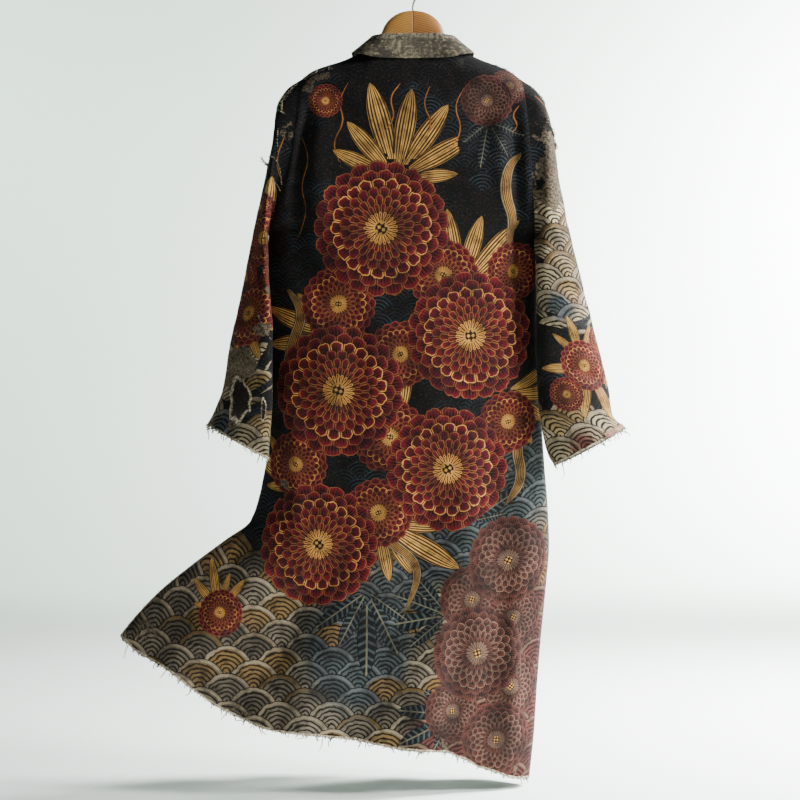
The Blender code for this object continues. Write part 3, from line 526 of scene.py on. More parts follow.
def smooth(stations: Sequence[float], values: Sequence[float], at: Any) -> Grid:
    """Read a curve through the values with no overshoot.

    Args:
        stations: rising places of the values.
        values: the values there.
        at: the places to read.

    Returns:
        The curve's value at each place.
    """
    stations, values, at = (np.asarray(item, float) for item in (stations, values, at))
    steps = np.diff(stations)
    slopes = np.diff(values) / steps
    tangents = np.empty_like(values)
    tangents[0], tangents[-1] = slopes[0], slopes[-1]
    same_way = slopes[:-1] * slopes[1:] > 0
    total = np.where(same_way, slopes[:-1] + slopes[1:], 1.0)
    tangents[1:-1] = np.where(same_way, 2 * slopes[:-1] * slopes[1:] / total, 0.0)
    span = np.clip(np.searchsorted(stations, at, side="right") - 1, 0, len(steps) - 1)
    share = np.clip((at - stations[span]) / steps[span], 0.0, 1.0)
    square, cube = share ** 2, share ** 3
    return (
        (2 * cube - 3 * square + 1) * values[span]
        + (cube - 2 * square + share) * steps[span] * tangents[span]
        + (3 * square - 2 * cube) * values[span + 1]
        + (cube - square) * steps[span] * tangents[span + 1]
    )


def pairs(rows: Rows, at: Any) -> Grid:
    """Read a two-column table."""
    return smooth(*zip(*rows), at)


def named(columns: Sequence[str], rows: Rows) -> Figures:
    """Read rows under their columns' names, with millimetres turned to metres.

    Args:
        columns: a name for each value of a row.
        rows: the rows.

    Returns:
        Each row by name.
    """
    return [
        {
            name.removesuffix("_mm"): value * MM if name.endswith("_mm") else value
            for name, value in zip(columns, row)
        }
        for row in rows
    ]


def unit(vectors: Grid) -> Grid:
    """Bring vectors to length one."""
    return vectors / np.maximum(np.linalg.norm(vectors, axis=-1, keepdims=True), 1e-12)


def ease(value: Any) -> Grid:
    """Step smoothly from 0 to 1."""
    value = np.clip(value, 0.0, 1.0)
    return value * value * (3 - 2 * value)


def added_up(steps: Grid, axis: int = 0) -> Grid:
    """Add steps up along one axis, from 0."""
    return np.insert(np.cumsum(steps, axis=axis), 0, 0.0, axis=axis)


def passed_along(points: Grid, axis: int = 0) -> Grid:
    """Measure how far along its line each point lies."""
    return added_up(np.linalg.norm(np.diff(points, axis=axis), axis=-1), axis)


def hidden_length(grid: Grid, axis: int) -> Grid:
    """Measure how much longer a grid's lines are than they look from behind."""
    step = np.diff(grid, axis=axis)
    return added_up(np.linalg.norm(step, axis=-1) - np.hypot(step[..., 0], step[..., 2]), axis)


class Table:
    """Rows of named columns that can be read at any station of the first column."""

    def __init__(self, columns: Sequence[str], rows: Rows) -> None:
        """Keep the rows under their columns' names."""
        self.columns = tuple(columns)
        self.rows = np.array(rows, float)

    def __call__(self, column: str, at: Any) -> Grid:
        """Read one column at the places asked for."""
        return smooth(self.rows[:, 0], self.rows[:, self.columns.index(column)], at)


def front_table() -> Table:
    """Make the fronts' outline: the back's down to the slit, then their own.

    Returns:
        The outline, with the back's columns.
    """
    own = {row[0]: row[1:] for row in FRONT_LEFT_ROWS}
    rows = []
    for row in BACK_ROWS:
        if row[0] in own:
            left_x, left_z, left_y = own[row[0]]
            row = (row[0], left_x, left_z, row[3], row[4], left_y, row[6], row[7])
        rows.append(row[:-1] + (float(pairs(FRONT_DEPTHS, row[0])),))
    return Table(BACK_COLUMNS, rows)


BACK = Table(BACK_COLUMNS, BACK_ROWS)
FRONT = front_table()


def body_surface(side: int, across: Grid, down: Grid) -> Grid:
    """Place points on the body's outer surface.

    Args:
        side: -1 for the back, +1 for the fronts.
        across: share of the way from the left edge to the right.
        down: share of the way from the shoulder to the hem.

    Returns:
        One point for each pair of shares.
    """
    table, hem, folds = (BACK, BACK_HEM, BACK_FOLDS) if side < 0 else (FRONT, FRONT_HEM, FRONT_FOLDS)

    def span(axis: str, at: Any) -> Grid:
        """Read the outline's two edges at a level, and go so far across."""
        left, right = table(f"left_{axis}", at), table(f"right_{axis}", at)
        return left + (right - left) * across

    top_x, hem_x, hem_chord = span("x", 0.0), span("x", 1.0), span("z", 1.0)
    x, z, middle = span("x", down), span("z", down), span("y", down)
    z = z + (1 - down) ** SHOULDER_FADE * (pairs(SHOULDER_LINE, top_x) - BACK_ROWS[0][2])
    z = z + down ** HEM_FADE * (pairs(hem, hem_x) - hem_chord)

    armhole = ARMHOLE_SHARE * np.sqrt(1 - np.clip(down / UNDERARM, 0, 1) ** 4)
    section = np.clip(1 - np.abs(2 * across - 1) ** SIDE_ROUND, 0, 1) ** SIDE_POWER
    section = armhole + (1 - armhole) * section
    neck = np.clip(1 - (top_x / NECK_HALF) ** 2, 0, 1)
    roll = np.clip(down / SHOULDER_ROLL + NECK_ROLL * neck, 0, 1)
    roll = np.sqrt(1 - (1 - roll) ** 2)
    height = np.zeros_like(x)
    for fold in named(FOLD_COLUMNS, folds):
        centre = fold["place"] + fold["lean"] * (1 - down)
        bell = np.exp(-((across - centre) / fold["width"]) ** 2)
        height += fold["depth"] * bell * ease((down - fold["start"]) / (1 - fold["start"]))
    height *= 1 - np.abs(2 * across - 1) ** FOLD_EDGE
    return np.stack([x, middle + side * (table("depth", down) * section * roll + height), z], axis=-1)


def down_stations() -> Grid:
    """Space the rows down the body, closest together over the shoulder.

    Returns:
        Rising shares from 0 to 1.
    """
    armhole = UNDERARM * (np.arange(ARMHOLE_ROWS + 1) / ARMHOLE_ROWS) ** ROW_GROWTH
    skirt = UNDERARM + (1 - UNDERARM) * np.arange(1, SKIRT_ROWS + 1) / SKIRT_ROWS
    return np.concatenate([armhole, skirt])


def surface_normals(grid: Grid, wrap: bool = False) -> Grid:
    """Find a grid's unit normals, with the first axis across and the second down.

    Args:
        grid: points.
        wrap: whether the first axis closes round itself.

    Returns:
        A normal for each point.
    """
    if wrap:
        along = np.roll(grid, -1, axis=0) - np.roll(grid, 1, axis=0)
    else:
        along = np.gradient(grid, axis=0)
    return unit(np.cross(along, np.gradient(grid, axis=1)))


def facing(normals: Grid, way: Grid) -> Grid:
    """Turn each normal to the side that another one faces."""
    return normals * np.sign(np.sum(normals * way, axis=-1, keepdims=True))


def armhole_ring(side: int) -> tuple[Grid, Grid]:
    """Find the armhole's points, down the back and up the front, and its way out.

    Args:
        side: -1 for the left one, +1 for the right one.

    Returns:
        The points and the way out.
    """
    down = down_stations()[:ARMHOLE_ROWS + 1]
    across = np.full_like(down, 0.0 if side < 0 else 1.0)
    near, far = (body_surface(wall, across, down) for wall in (-1, 1))
    ring = np.concatenate([near, far[-2:0:-1]])
    outward = unit(np.cross(near[-1] - near[0], [0.0, 1.0, 0.0]))
    return ring, outward * side * np.sign(outward[0])


def rough(spots: Grid, scale: float, seed: float) -> Grid:
    """Make a smooth uneven field from a few crossed waves.

    Args:
        spots: places, with p and q last.
        scale: rough length of a wave in metres.
        seed: shifts the waves.

    Returns:
        A value from about -1 to 1 at each place.
    """
    p, q = spots[..., 0], spots[..., 1]
    total = np.zeros_like(p)
    for k in range(5):
        turn = seed * 1.7 + k * 2.399
        step = 2 * math.pi / (scale * (0.7 + 0.22 * k))
        total += np.sin((p * math.cos(turn) + q * math.sin(turn)) * step + seed * 5.1 + k * 1.3)
    return total / 5


def blobs(rows: Rows, spots: Grid) -> Grid:
    """Add up soft round patches.

    Args:
        rows: rows of BLOB_COLUMNS.
        spots: places, with p and q last.

    Returns:
        Their sum at each place.
    """
    total = np.zeros(spots.shape[:-1])
    for blob in named(BLOB_COLUMNS, rows):
        away = np.hypot(spots[..., 0] - blob["p"], spots[..., 1] - blob["q"])
        total += blob["value"] * np.exp(-(away / blob["radius"]) ** 2)
    return total


def crease_height(rows: Rows, spots: Grid) -> Grid:
    """Add up soft troughs and ridges along slightly wavy runs that fade at both ends.

    Args:
        rows: rows of CREASE_COLUMNS.
        spots: places, with p and q last.

    Returns:
        Their height at each place.
    """
    total = np.zeros(spots.shape[:-1])
    for crease in named(CREASE_COLUMNS, rows):
        start = np.array([crease["p"], crease["q"]])
        run = np.array([crease["end_p"], crease["end_q"]]) - start
        length = np.linalg.norm(run)
        offset = spots - start
        along = offset @ run / length ** 2
        side = (offset[..., 0] * run[1] - offset[..., 1] * run[0]) / length
        side = side + 0.3 * crease["width"] * np.sin(along * 5.0 + crease["p"] * 40)
        fade = np.clip(1 - np.abs(2 * along - 1) ** 4, 0, 1)
        total += crease["depth"] * fade * np.exp(-(side / crease["width"]) ** 2)
    return total


def apart(choice: Grid) -> Grid:
    """Mark the places of a grid whose neighbours all follow the same figure.

    Args:
        choice: the figure that each place follows.

    Returns:
        1 where they do, 0 elsewhere.
    """
    same = np.ones(choice.shape)
    for grid, marks in ((choice, same), (choice.T, same.T)):
        differ = grid[1:] != grid[:-1]
        marks[:-1][differ] = 0
        marks[1:][differ] = 0
    return same


def figure_marks(figures: Figures, spots: Grid, slender: float = 1.0) -> tuple[Grid, Grid]:
    """Give each place its nearest figure and its own place in that figure.

    Args:
        figures: p, q, size, turn and tone of each.
        spots: a grid of places, with p and q last.
        slender: how much nearer a figure's side is than its tip.

    Returns:
        Along, across (in figure sizes) and tone; and 1 where the figure can be drawn.
    """
    shape = spots.shape[:-1]
    marks, best, choice = np.full((*shape, 3), FAR), np.full(shape, np.inf), np.full(shape, -1)
    for k, figure in enumerate(figures):
        turn, size = math.radians(figure["turn"]), figure["size"]
        p, q = (spots[..., 0] - figure["p"]) / size, (spots[..., 1] - figure["q"]) / size
        along = p * math.cos(turn) - q * math.sin(turn)
        across = p * math.sin(turn) + q * math.cos(turn)
        away = np.hypot(along, across / slender) * size ** 0.5
        nearer = away < best
        best = np.where(nearer, away, best)
        choice = np.where(nearer, k, choice)
        local = np.stack([along, across, np.full(shape, figure["tone"].value)], axis=-1)
        marks = np.where(nearer[..., None], local, marks)
    return marks, apart(choice)


def heads(flowers: Flowers) -> Figures:
    """List flower heads, each with its tone."""
    return [{**head, "tone": tone} for tone, rows in flowers.items() for head in named(HEAD_COLUMNS, rows)]


def leaves(sprays: Rows) -> Figures:
    """Turn fans of leaves of uneven length into single leaves.

    Args:
        sprays: rows of SPRAY_COLUMNS.

    Returns:
        p, q, size, turn and tone of each leaf.
    """
    single = []
    for spray in named(SPRAY_COLUMNS, sprays):
        for k in range(spray["count"]):
            share = k / (spray["count"] - 1) - 0.5
            turn = spray["heading"] + share * spray["fan"]
            uneven = 0.10 * math.sin(k * 2.3 + spray["p"] * 50)
            length = spray["length"] * (1 - LEAF_TAPER * abs(share) + uneven)
            p = spray["p"] + LEAF_REACH * length * math.cos(math.radians(turn))
            q = spray["q"] - LEAF_REACH * length * math.sin(math.radians(turn))
            single.append({"p": p, "q": q, "size": length / 2, "turn": turn, "tone": spray["tone"]})
    return single


def ribbon_marks(design: Design, spots: Grid) -> tuple[Grid, Grid]:
    """Give each place its distance along and across its nearest tendril or streamer.

    Args:
        design: what is woven into the piece.
        spots: a grid of places, with p and q last.

    Returns:
        Along (metres), across (half widths) and 1 for a tendril; and 1 where it can be drawn.
    """
    shape = spots.shape[:-1]
    marks, best, choice = np.full((*shape, 3), FAR), np.full(shape, np.inf), np.full(shape, -1)
    ribbons = [(TENDRIL, 1.0, points) for points in design.tendrils]
    ribbons += [(half, 0.0, points) for half, points in design.streamers]
    for k, (half, thin, points) in enumerate(ribbons):
        path = np.array(points) * MM
        for _ in range(4):
            inner = [path[:-1] * share + path[1:] * (1 - share) for share in (0.75, 0.25)]
            path = np.concatenate([path[:1], np.stack(inner, axis=1).reshape(-1, 2), path[-1:]])
        runs = np.diff(path, axis=0)
        lengths = np.linalg.norm(runs, axis=1)
        before = added_up(lengths)
        for start, run, length, passed in zip(path, runs, lengths, before):
            offset = spots - start
            share = np.clip(offset @ run / length ** 2, -FAR if passed == 0 else 0, 1)
            away = offset - share[..., None] * run
            side = (offset[..., 0] * run[1] - offset[..., 1] * run[0]) / length
            distance = np.hypot(away[..., 0], away[..., 1])
            nearer = distance < best
            best = np.where(nearer, distance, best)
            choice = np.where(nearer, k, choice)
            along = passed + share * length
            ends = np.abs(2 * np.clip(along / before[-1], 0, 1) - 1) ** 3
            signed = np.sign(side) * np.maximum(distance, np.abs(side)) / (half * MM * (1 - 0.8 * ends))
            local = np.stack([along, signed, np.full(shape, thin)], axis=-1)
            marks = np.where(nearer[..., None], local, marks)
    return marks, apart(choice) * (best < RIBBON_CLAIM) * (marks[..., 0] > 0)


def woven_marks(design: Design, spots: Grid) -> dict[str, Grid]:
    """Work out every field that the cloth's finish reads.

    Args:
        design: what is woven into the piece.
        spots: a grid of places, with p and q last.

    Returns:
        Named arrays of three values a place.
    """
    p, q = spots[..., 0], spots[..., 1]
    fans = leaves(design.sprays)
    bloom, bloom_on = figure_marks(heads(design.blooms), spots)
    bud, bud_on = figure_marks(heads(design.buds), spots)
    leaf, leaf_on = figure_marks(fans[::2], spots, LEAF_CLAIM)
    frond, frond_on = figure_marks(fans[1::2], spots, LEAF_CLAIM)
    ribbon, ribbon_on = ribbon_marks(design, spots)
    line = np.array(design.shore) * MM
    shore = q - pairs(line, np.clip(p, line[0, 0], line[-1, 0]))
    for over, down, radius in np.array(design.waves).reshape(-1, 3) * MM:
        shore = np.maximum(shore, radius - np.hypot(p - over, q - down))
    tint = np.clip(blobs(design.tints, spots) * 1.5, -1, 1)
    return {
        "bloom": bloom, "bud": bud, "leaf": leaf, "frond": frond, "ribbon": ribbon,
        "drawn": np.stack([bloom_on, bud_on, ribbon_on], axis=-1),
        "lined": np.stack([leaf_on, frond_on, leaf_on], axis=-1),
        "weave": np.stack([p, q, shore], axis=-1),
        "worn": np.stack([blobs(design.wear, spots), tint, np.zeros_like(tint)], axis=-1),
    }


@dataclass
class Cloth:
    """A piece of cloth as grids, on its way to becoming a mesh.

    Args:
        name: the piece's name.
        points: outer surface, across by down.
        normals: unit normals that point out of the coat.
        marks: named fields, a place more across than points where the piece is a tube.
        wrap: whether the piece closes round itself.
        gone: faces that are torn away, across by down.
    """

    name: str
    points: Grid
    normals: Grid
    marks: dict[str, Grid]
    wrap: bool = False
    gone: Grid | None = None

    def build(self, finish: Material, lining: Material) -> Piece:
        """Make the closed shell: outer faces, inner faces and the raw edges between.

        Args:
            finish: material of the outer side and the edges.
            lining: material of the inner side.

        Returns:
            The new object.
        """
        columns, rows = self.points.shape[:2]
        spans = columns if self.wrap else columns - 1
        i, j = (item.ravel() for item in np.meshgrid(np.arange(spans), np.arange(rows - 1), indexing="ij"))
        if self.gone is not None:
            kept = ~self.gone[i, j]
            i, j = i[kept], j[kept]
        own = np.stack([i * rows + j, (i + 1) * rows + j, (i + 1) * rows + j + 1, i * rows + j + 1], axis=1)
        count = columns * rows
        verts = own % count
        if np.sum(surface_normals(self.points, self.wrap) * self.normals) < 0:
            own, verts = own[:, ::-1], verts[:, ::-1]
        sides = self.rim(own, verts)
        faces = np.concatenate([verts, verts[:, ::-1] + count, sides[0]])
        corners = np.concatenate([own, own[:, ::-1], sides[1]]).ravel()
        inner = self.points - self.normals * CLOTH
        points = np.concatenate([self.points.reshape(-1, 3), inner.reshape(-1, 3)])
        used = np.zeros(len(points), bool)
        used[faces.ravel()] = True
        index = np.cumsum(used) - 1
        mesh = bpy.data.meshes.new(self.name)
        mesh.from_pydata(points[used].tolist(), [], index[faces].tolist())
        for name, values in self.marks.items():
            layer = mesh.attributes.new(name, "FLOAT_VECTOR", "CORNER")
            layer.data.foreach_set("vector", values.reshape(-1, 3)[corners].astype(np.float32).ravel())
        mesh.materials.append(finish)
        mesh.materials.append(lining)
        inside = np.zeros(len(faces), np.int32)
        inside[len(verts):2 * len(verts)] = 1
        mesh.polygons.foreach_set("material_index", inside)
        mesh.shade_smooth()
        mesh.set_sharp_from_angle(angle=SHARP)
        mesh.update()
        return link(self.name, mesh)

    def rim(self, own: Grid, verts: Grid) -> tuple[Grid, Grid]:
        """Find the strips that close the raw edges.

        Args:
            own: places of the faces' corners in the marks.
            verts: places of the faces' corners in the points.

        Returns:
            The strips' faces, and the places of their corners in the marks.
        """
        count = self.points.shape[0] * self.points.shape[1]
        starts, ends = verts.ravel(), np.roll(verts, -1, axis=1).ravel()
        marked, next_marked = own.ravel(), np.roll(own, -1, axis=1).ravel()
        forward, backward = starts * count + ends, ends * count + starts
        single = ~np.isin(forward, backward)
        a, b = starts[single], ends[single]
        near, far = marked[single], next_marked[single]
        return np.stack([b, a, a + count, b + count], axis=1), np.stack([far, near, near, far], axis=1)


def link(name: str, data: Any) -> Piece:
    """Put new data in the scene under a name.

    Args:
        name: its name.
        data: a mesh, curve, light or camera.

    Returns:
        The new object.
    """
    piece = bpy.data.objects.new(name, data)
    bpy.context.collection.objects.link(piece)
    return piece


def raw_distance(points: Grid) -> Grid:
    """Measure how far each place of a grid lies from its last row, down its own column."""
    passed = passed_along(points, 1)
    return passed[:, -1:] - passed


def wrinkles(spots: Grid, broad: float, fine: float, seed: float) -> Grid:
    """Make small wrinkles of two sizes, a broad one and a fine one."""
    return 0.0009 * rough(spots, broad, seed) + 0.0005 * rough(spots, fine, seed + 3)


def flat_places(points: Grid) -> Grid:
    """Lay a body panel's grid out flat, keeping its middle below the shoulders where it hangs.

    Args:
        points: the panel's grid, across by down.

    Returns:
        p and q of each place.
    """
    over, down = hidden_length(points, 0), hidden_length(points, 1)
    nearest = int(np.argmin(np.abs(points[:, points.shape[1] // 2, 0])))
    middle = ARMHOLE_ROWS // 2
    p = points[..., 0] + (over - over[nearest])
    return np.stack([p, -points[..., 2] + (down - down[:, middle:middle + 1])], axis=-1)


@dataclass
class Panel:
    """A flat-cut piece of the body: the back or one of the fronts.

    Args:
        name: the piece's name, which is its node's too.
        side: -1 for the back, +1 for a front.
        design: what is woven into it.
        columns: places across it.
        seed: shifts its small wrinkles.
        half: for a front, -1 for the left one and +1 for the right one.
        wrinkles: rough lengths of its broad and its fine wrinkles.
        fade: over how many columns and rows they come in from its edges.
    """

    name: str
    side: int
    design: Design
    columns: int
    seed: float
    half: int = 0
    wrinkles: tuple[float, float] = (0.090, 0.034)
    fade: tuple[float, float] = (7.0, 16.0)

    def across(self, down: Grid) -> Grid:
        """Spread the columns between the panel's two edges at each row.

        Args:
            down: share of the way down at each row.

        Returns:
            Share of the way across, column by row.
        """
        share = np.linspace(0, 1, self.columns)[:, None]
        if not self.half:
            return np.broadcast_to(share, (self.columns, len(down)))
        left, right = FRONT("left_x", down), FRONT("right_x", down)
        opening = (self.half * pairs(FRONT_OPENING, down) - left) / (right - left)
        return share * opening if self.half < 0 else opening + share * (1 - opening)

    def cloth(self) -> Cloth:
        """Shape the panel, its folds and its small wrinkles.

        Returns:
            The cloth, ready to build.
        """
        down = down_stations()
        across = self.across(down)
        points = body_surface(self.side, across, np.broadcast_to(down, across.shape))
        normals = surface_normals(points) * self.side
        spots = flat_places(points)
        height = crease_height(self.design.creases, spots) + wrinkles(spots, *self.wrinkles, self.seed)
        index = np.arange(self.columns)
        fade = ease(np.minimum(index, index[::-1]) / self.fade[0])[:, None]
        fade = fade * ease(np.arange(len(down)) / self.fade[1])
        points = points + normals * (height * fade)[..., None]
        normals = facing(surface_normals(points), normals)
        points[..., 1] += self.side * SEAM_GAP / 2
        marks = woven_marks(self.design, spots)
        edge = raw_distance(points)
        if self.half <= 0:
            passed = passed_along(points)
            edge = np.where(down >= SLIT_TOP, np.minimum(edge, passed), edge)
        if self.half < 0:
            away = ease((down - SLIT_TOP) / SLIT_FADE) * np.exp(-passed / SLIT_FADE)
            points[..., 1] += SLIT_CLEAR * away
        marks["worn"][..., 2] = edge
        return Cloth(self.name, points, normals, marks)


@dataclass
class Sleeve:
    """One tube of a sleeve, from the armhole to the cuff.

    Args:
        name: the piece's name.
        side: -1 for the left sleeve and +1 for the right one.
        rows: rows of SLEEVE_COLUMNS.
        design: what is woven into it.
        seed: shifts its small wrinkles.
        cuff_drop: how far the far wall of its cuff hangs below the near one.
        rips: rows of RIP_COLUMNS.
        wrinkles: rough lengths of its broad and its fine wrinkles.
        fade: over how many columns they come in from the inner fold, and rows from the armhole.
    """

    name: str
    side: int
    rows: Rows
    design: Design
    seed: float
    cuff_drop: float = 0.0
    rips: Rows = ()
    wrinkles: tuple[float, float] = (0.075, 0.030)
    fade: tuple[float, float] = (5.0, 14.0)

    def tube(self) -> Grid:
        """Shape the smooth tube: round it by along the arm, from the inner fold round the front.

        Returns:
            Its points.
        """
        ring, outward = armhole_ring(self.side)
        table = Table(SLEEVE_COLUMNS, self.rows)
        count = len(ring)
        turn = 2 * math.pi * np.arange(count) / count
        turn, along = np.meshgrid(turn, np.linspace(0, 1, SLEEVE_ROWS + 1), indexing="ij")
        chord = ring[count // 2] - ring[0]
        height = np.clip((ring - ring[0]) @ chord / (chord @ chord), 0, 1)[:, None]
        settled = ease(along / ARMHOLE_BLEND)
        inward = height * (1 - settled) + (1 - np.cos(turn)) / 2 * settled
        x = table("outer_x", along) + (table("inner_x", along) - table("outer_x", along)) * inward
        z = table("outer_z", along) + (table("inner_z", along) - table("outer_z", along)) * inward
        depth = np.sign(np.sin(turn)) * np.abs(np.sin(turn)) ** SLEEVE_FLATNESS * table("depth", along)
        y = table("inner_y", along) * inward - depth
        lowered = ease((along - CUFF_START) / (1 - CUFF_START))
        z = z - self.cuff_drop * np.clip(-np.sin(turn), 0, 1) * lowered
        grid = np.stack([x, y, z], axis=-1)
        reach = np.clip(1 - along / ARMHOLE_BLEND, 0, 1)[..., None] ** 2
        start = (ring + outward * SEAM_GAP)[:, None, :]
        grid = grid + reach * (start - grid[:, :1, :])
        return np.roll(grid, -(count // 2), axis=0)

    def places(self, grid: Grid) -> Grid:
        """Lay the tube out flat: p from the outer fold, q down from the shoulder.

        Args:
            grid: the tube's points.

        Returns:
            p and q, with the first column repeated at the end.
        """
        half = len(grid) // 2
        closed = np.concatenate([grid, grid[:1]])
        extra = hidden_length(closed, 0)
        fold = closed[half]
        beside = np.abs(closed[..., 0] - np.interp(-closed[..., 2], -fold[:, 2], fold[:, 0]))
        way = np.sign(np.arange(len(closed)) - half)[:, None]
        p = way * (beside + np.abs(extra - extra[half]))
        return np.stack([p, BACK_ROWS[0][2] - closed[..., 2]], axis=-1)

    def torn(self, count: int) -> Grid:
        """Find how far each place lies from the nearest rip, as a share of its ragged outline.

        Args:
            count: columns round the tube.

        Returns:
            The share at each place, 1 on the outline.
        """
        column = (np.arange(count + 1) - count / 2) * RIP_GRID[0] / (count / 2)
        row = np.arange(SLEEVE_ROWS + 1) * RIP_GRID[1] / SLEEVE_ROWS
        spots = np.stack(np.meshgrid(column, row, indexing="ij"), axis=-1)
        share = np.full(spots.shape[:-1], FAR)
        for rip in named(RIP_COLUMNS, self.rips):
            middle = np.array([rip["column"] + rip["columns"] / 2, rip["row"] + rip["rows"] / 2])
            half = np.array([rip["columns"] * rip["wide"], rip["rows"] * rip["tall"]]) / 2
            away = (spots - middle) / half
            turn = np.arctan2(away[..., 1], away[..., 0])
            ragged = 1 + 0.10 * np.sin(3 * turn + rip["column"])
            ragged += 0.07 * np.sin(7 * turn) + 0.05 * np.sin(11 * turn)
            share = np.minimum(share, np.hypot(away[..., 0], away[..., 1]) / ragged)
        return share

    def cloth(self) -> Cloth:
        """Shape the sleeve, its creases and its rips.

        Returns:
            The cloth, ready to build.
        """
        grid = self.tube()
        normals = surface_normals(grid, wrap=True)
        normals *= np.sign(np.sum(normals * (grid - grid.mean(axis=0))))
        spots = self.places(grid)
        own = spots[:-1]
        height = crease_height(self.design.creases, own) + wrinkles(own, *self.wrinkles, self.seed)
        index = np.arange(len(grid))
        fade = ease(np.minimum(index, len(grid) - index) / self.fade[0])[:, None]
        fade = fade * ease(np.arange(SLEEVE_ROWS + 1) / self.fade[1])
        points = grid + normals * (height * fade)[..., None]
        marks = woven_marks(self.design, spots)
        edge = raw_distance(np.concatenate([points, points[:1]]))
        gone = None
        if self.rips:
            share = self.torn(len(grid))
            gone = self.tear(points, share)
            edge = np.minimum(edge, np.maximum(share - 1, 0) * RIP_HALF)
        marks["worn"][..., 2] = edge
        return Cloth(self.name, points, facing(surface_normals(points, True), normals), marks, True, gone)

    def tear(self, points: Grid, share: Grid) -> Grid:
        """Cut the rips: move the places at each outline onto it, and mark what is gone.

        Args:
            points: the tube's grid, changed in place.
            share: how far each place lies from the rips.

        Returns:
            The faces that are torn away.
        """
        middle = (share[:-1, :-1] + share[1:, :-1] + share[:-1, 1:] + share[1:, 1:]) / 4
        gone = middle < 1
        own = share[:-1]
        slope_a, slope_b = np.gradient(own)
        size = np.maximum(slope_a ** 2 + slope_b ** 2, 1e-9)
        rim = own < 3
        for faces in (gone, ~gone):
            touched = np.zeros(own.shape, bool)
            i, j = np.nonzero(faces)
            for a, b in ((0, 0), (1, 0), (0, 1), (1, 1)):
                touched[(i + a) % len(own), j + b] = True
            rim &= touched
        shift = (1 - own) / size
        round_step = (np.roll(points, -1, axis=0) - np.roll(points, 1, axis=0)) / 2
        down_step = np.gradient(points, axis=1)
        move = round_step * np.clip(shift * slope_a, -0.8, 0.8)[..., None]
        move += down_step * np.clip(shift * slope_b, -0.8, 0.8)[..., None]
        points[rim] += move[rim]
        return gone


def edge_places(side: int, across: Grid, down: Grid) -> tuple[Grid, Grid]:
    """Find points and outward normals of the smooth body along any line on it.

    Args:
        side: -1 for the back, +1 for the fronts.
        across: share of the way across, for each place.
        down: share of the way down.

    Returns:
        The points and their normals.
    """
    step = 1e-3
    before, after = np.clip(down - step, 0, 1), np.clip(down + step, 0, 1)
    over = body_surface(side, across + step, down) - body_surface(side, across - step, down)
    along = body_surface(side, across, after) - body_surface(side, across, before)
    return body_surface(side, across, down), side * unit(np.cross(over, along))


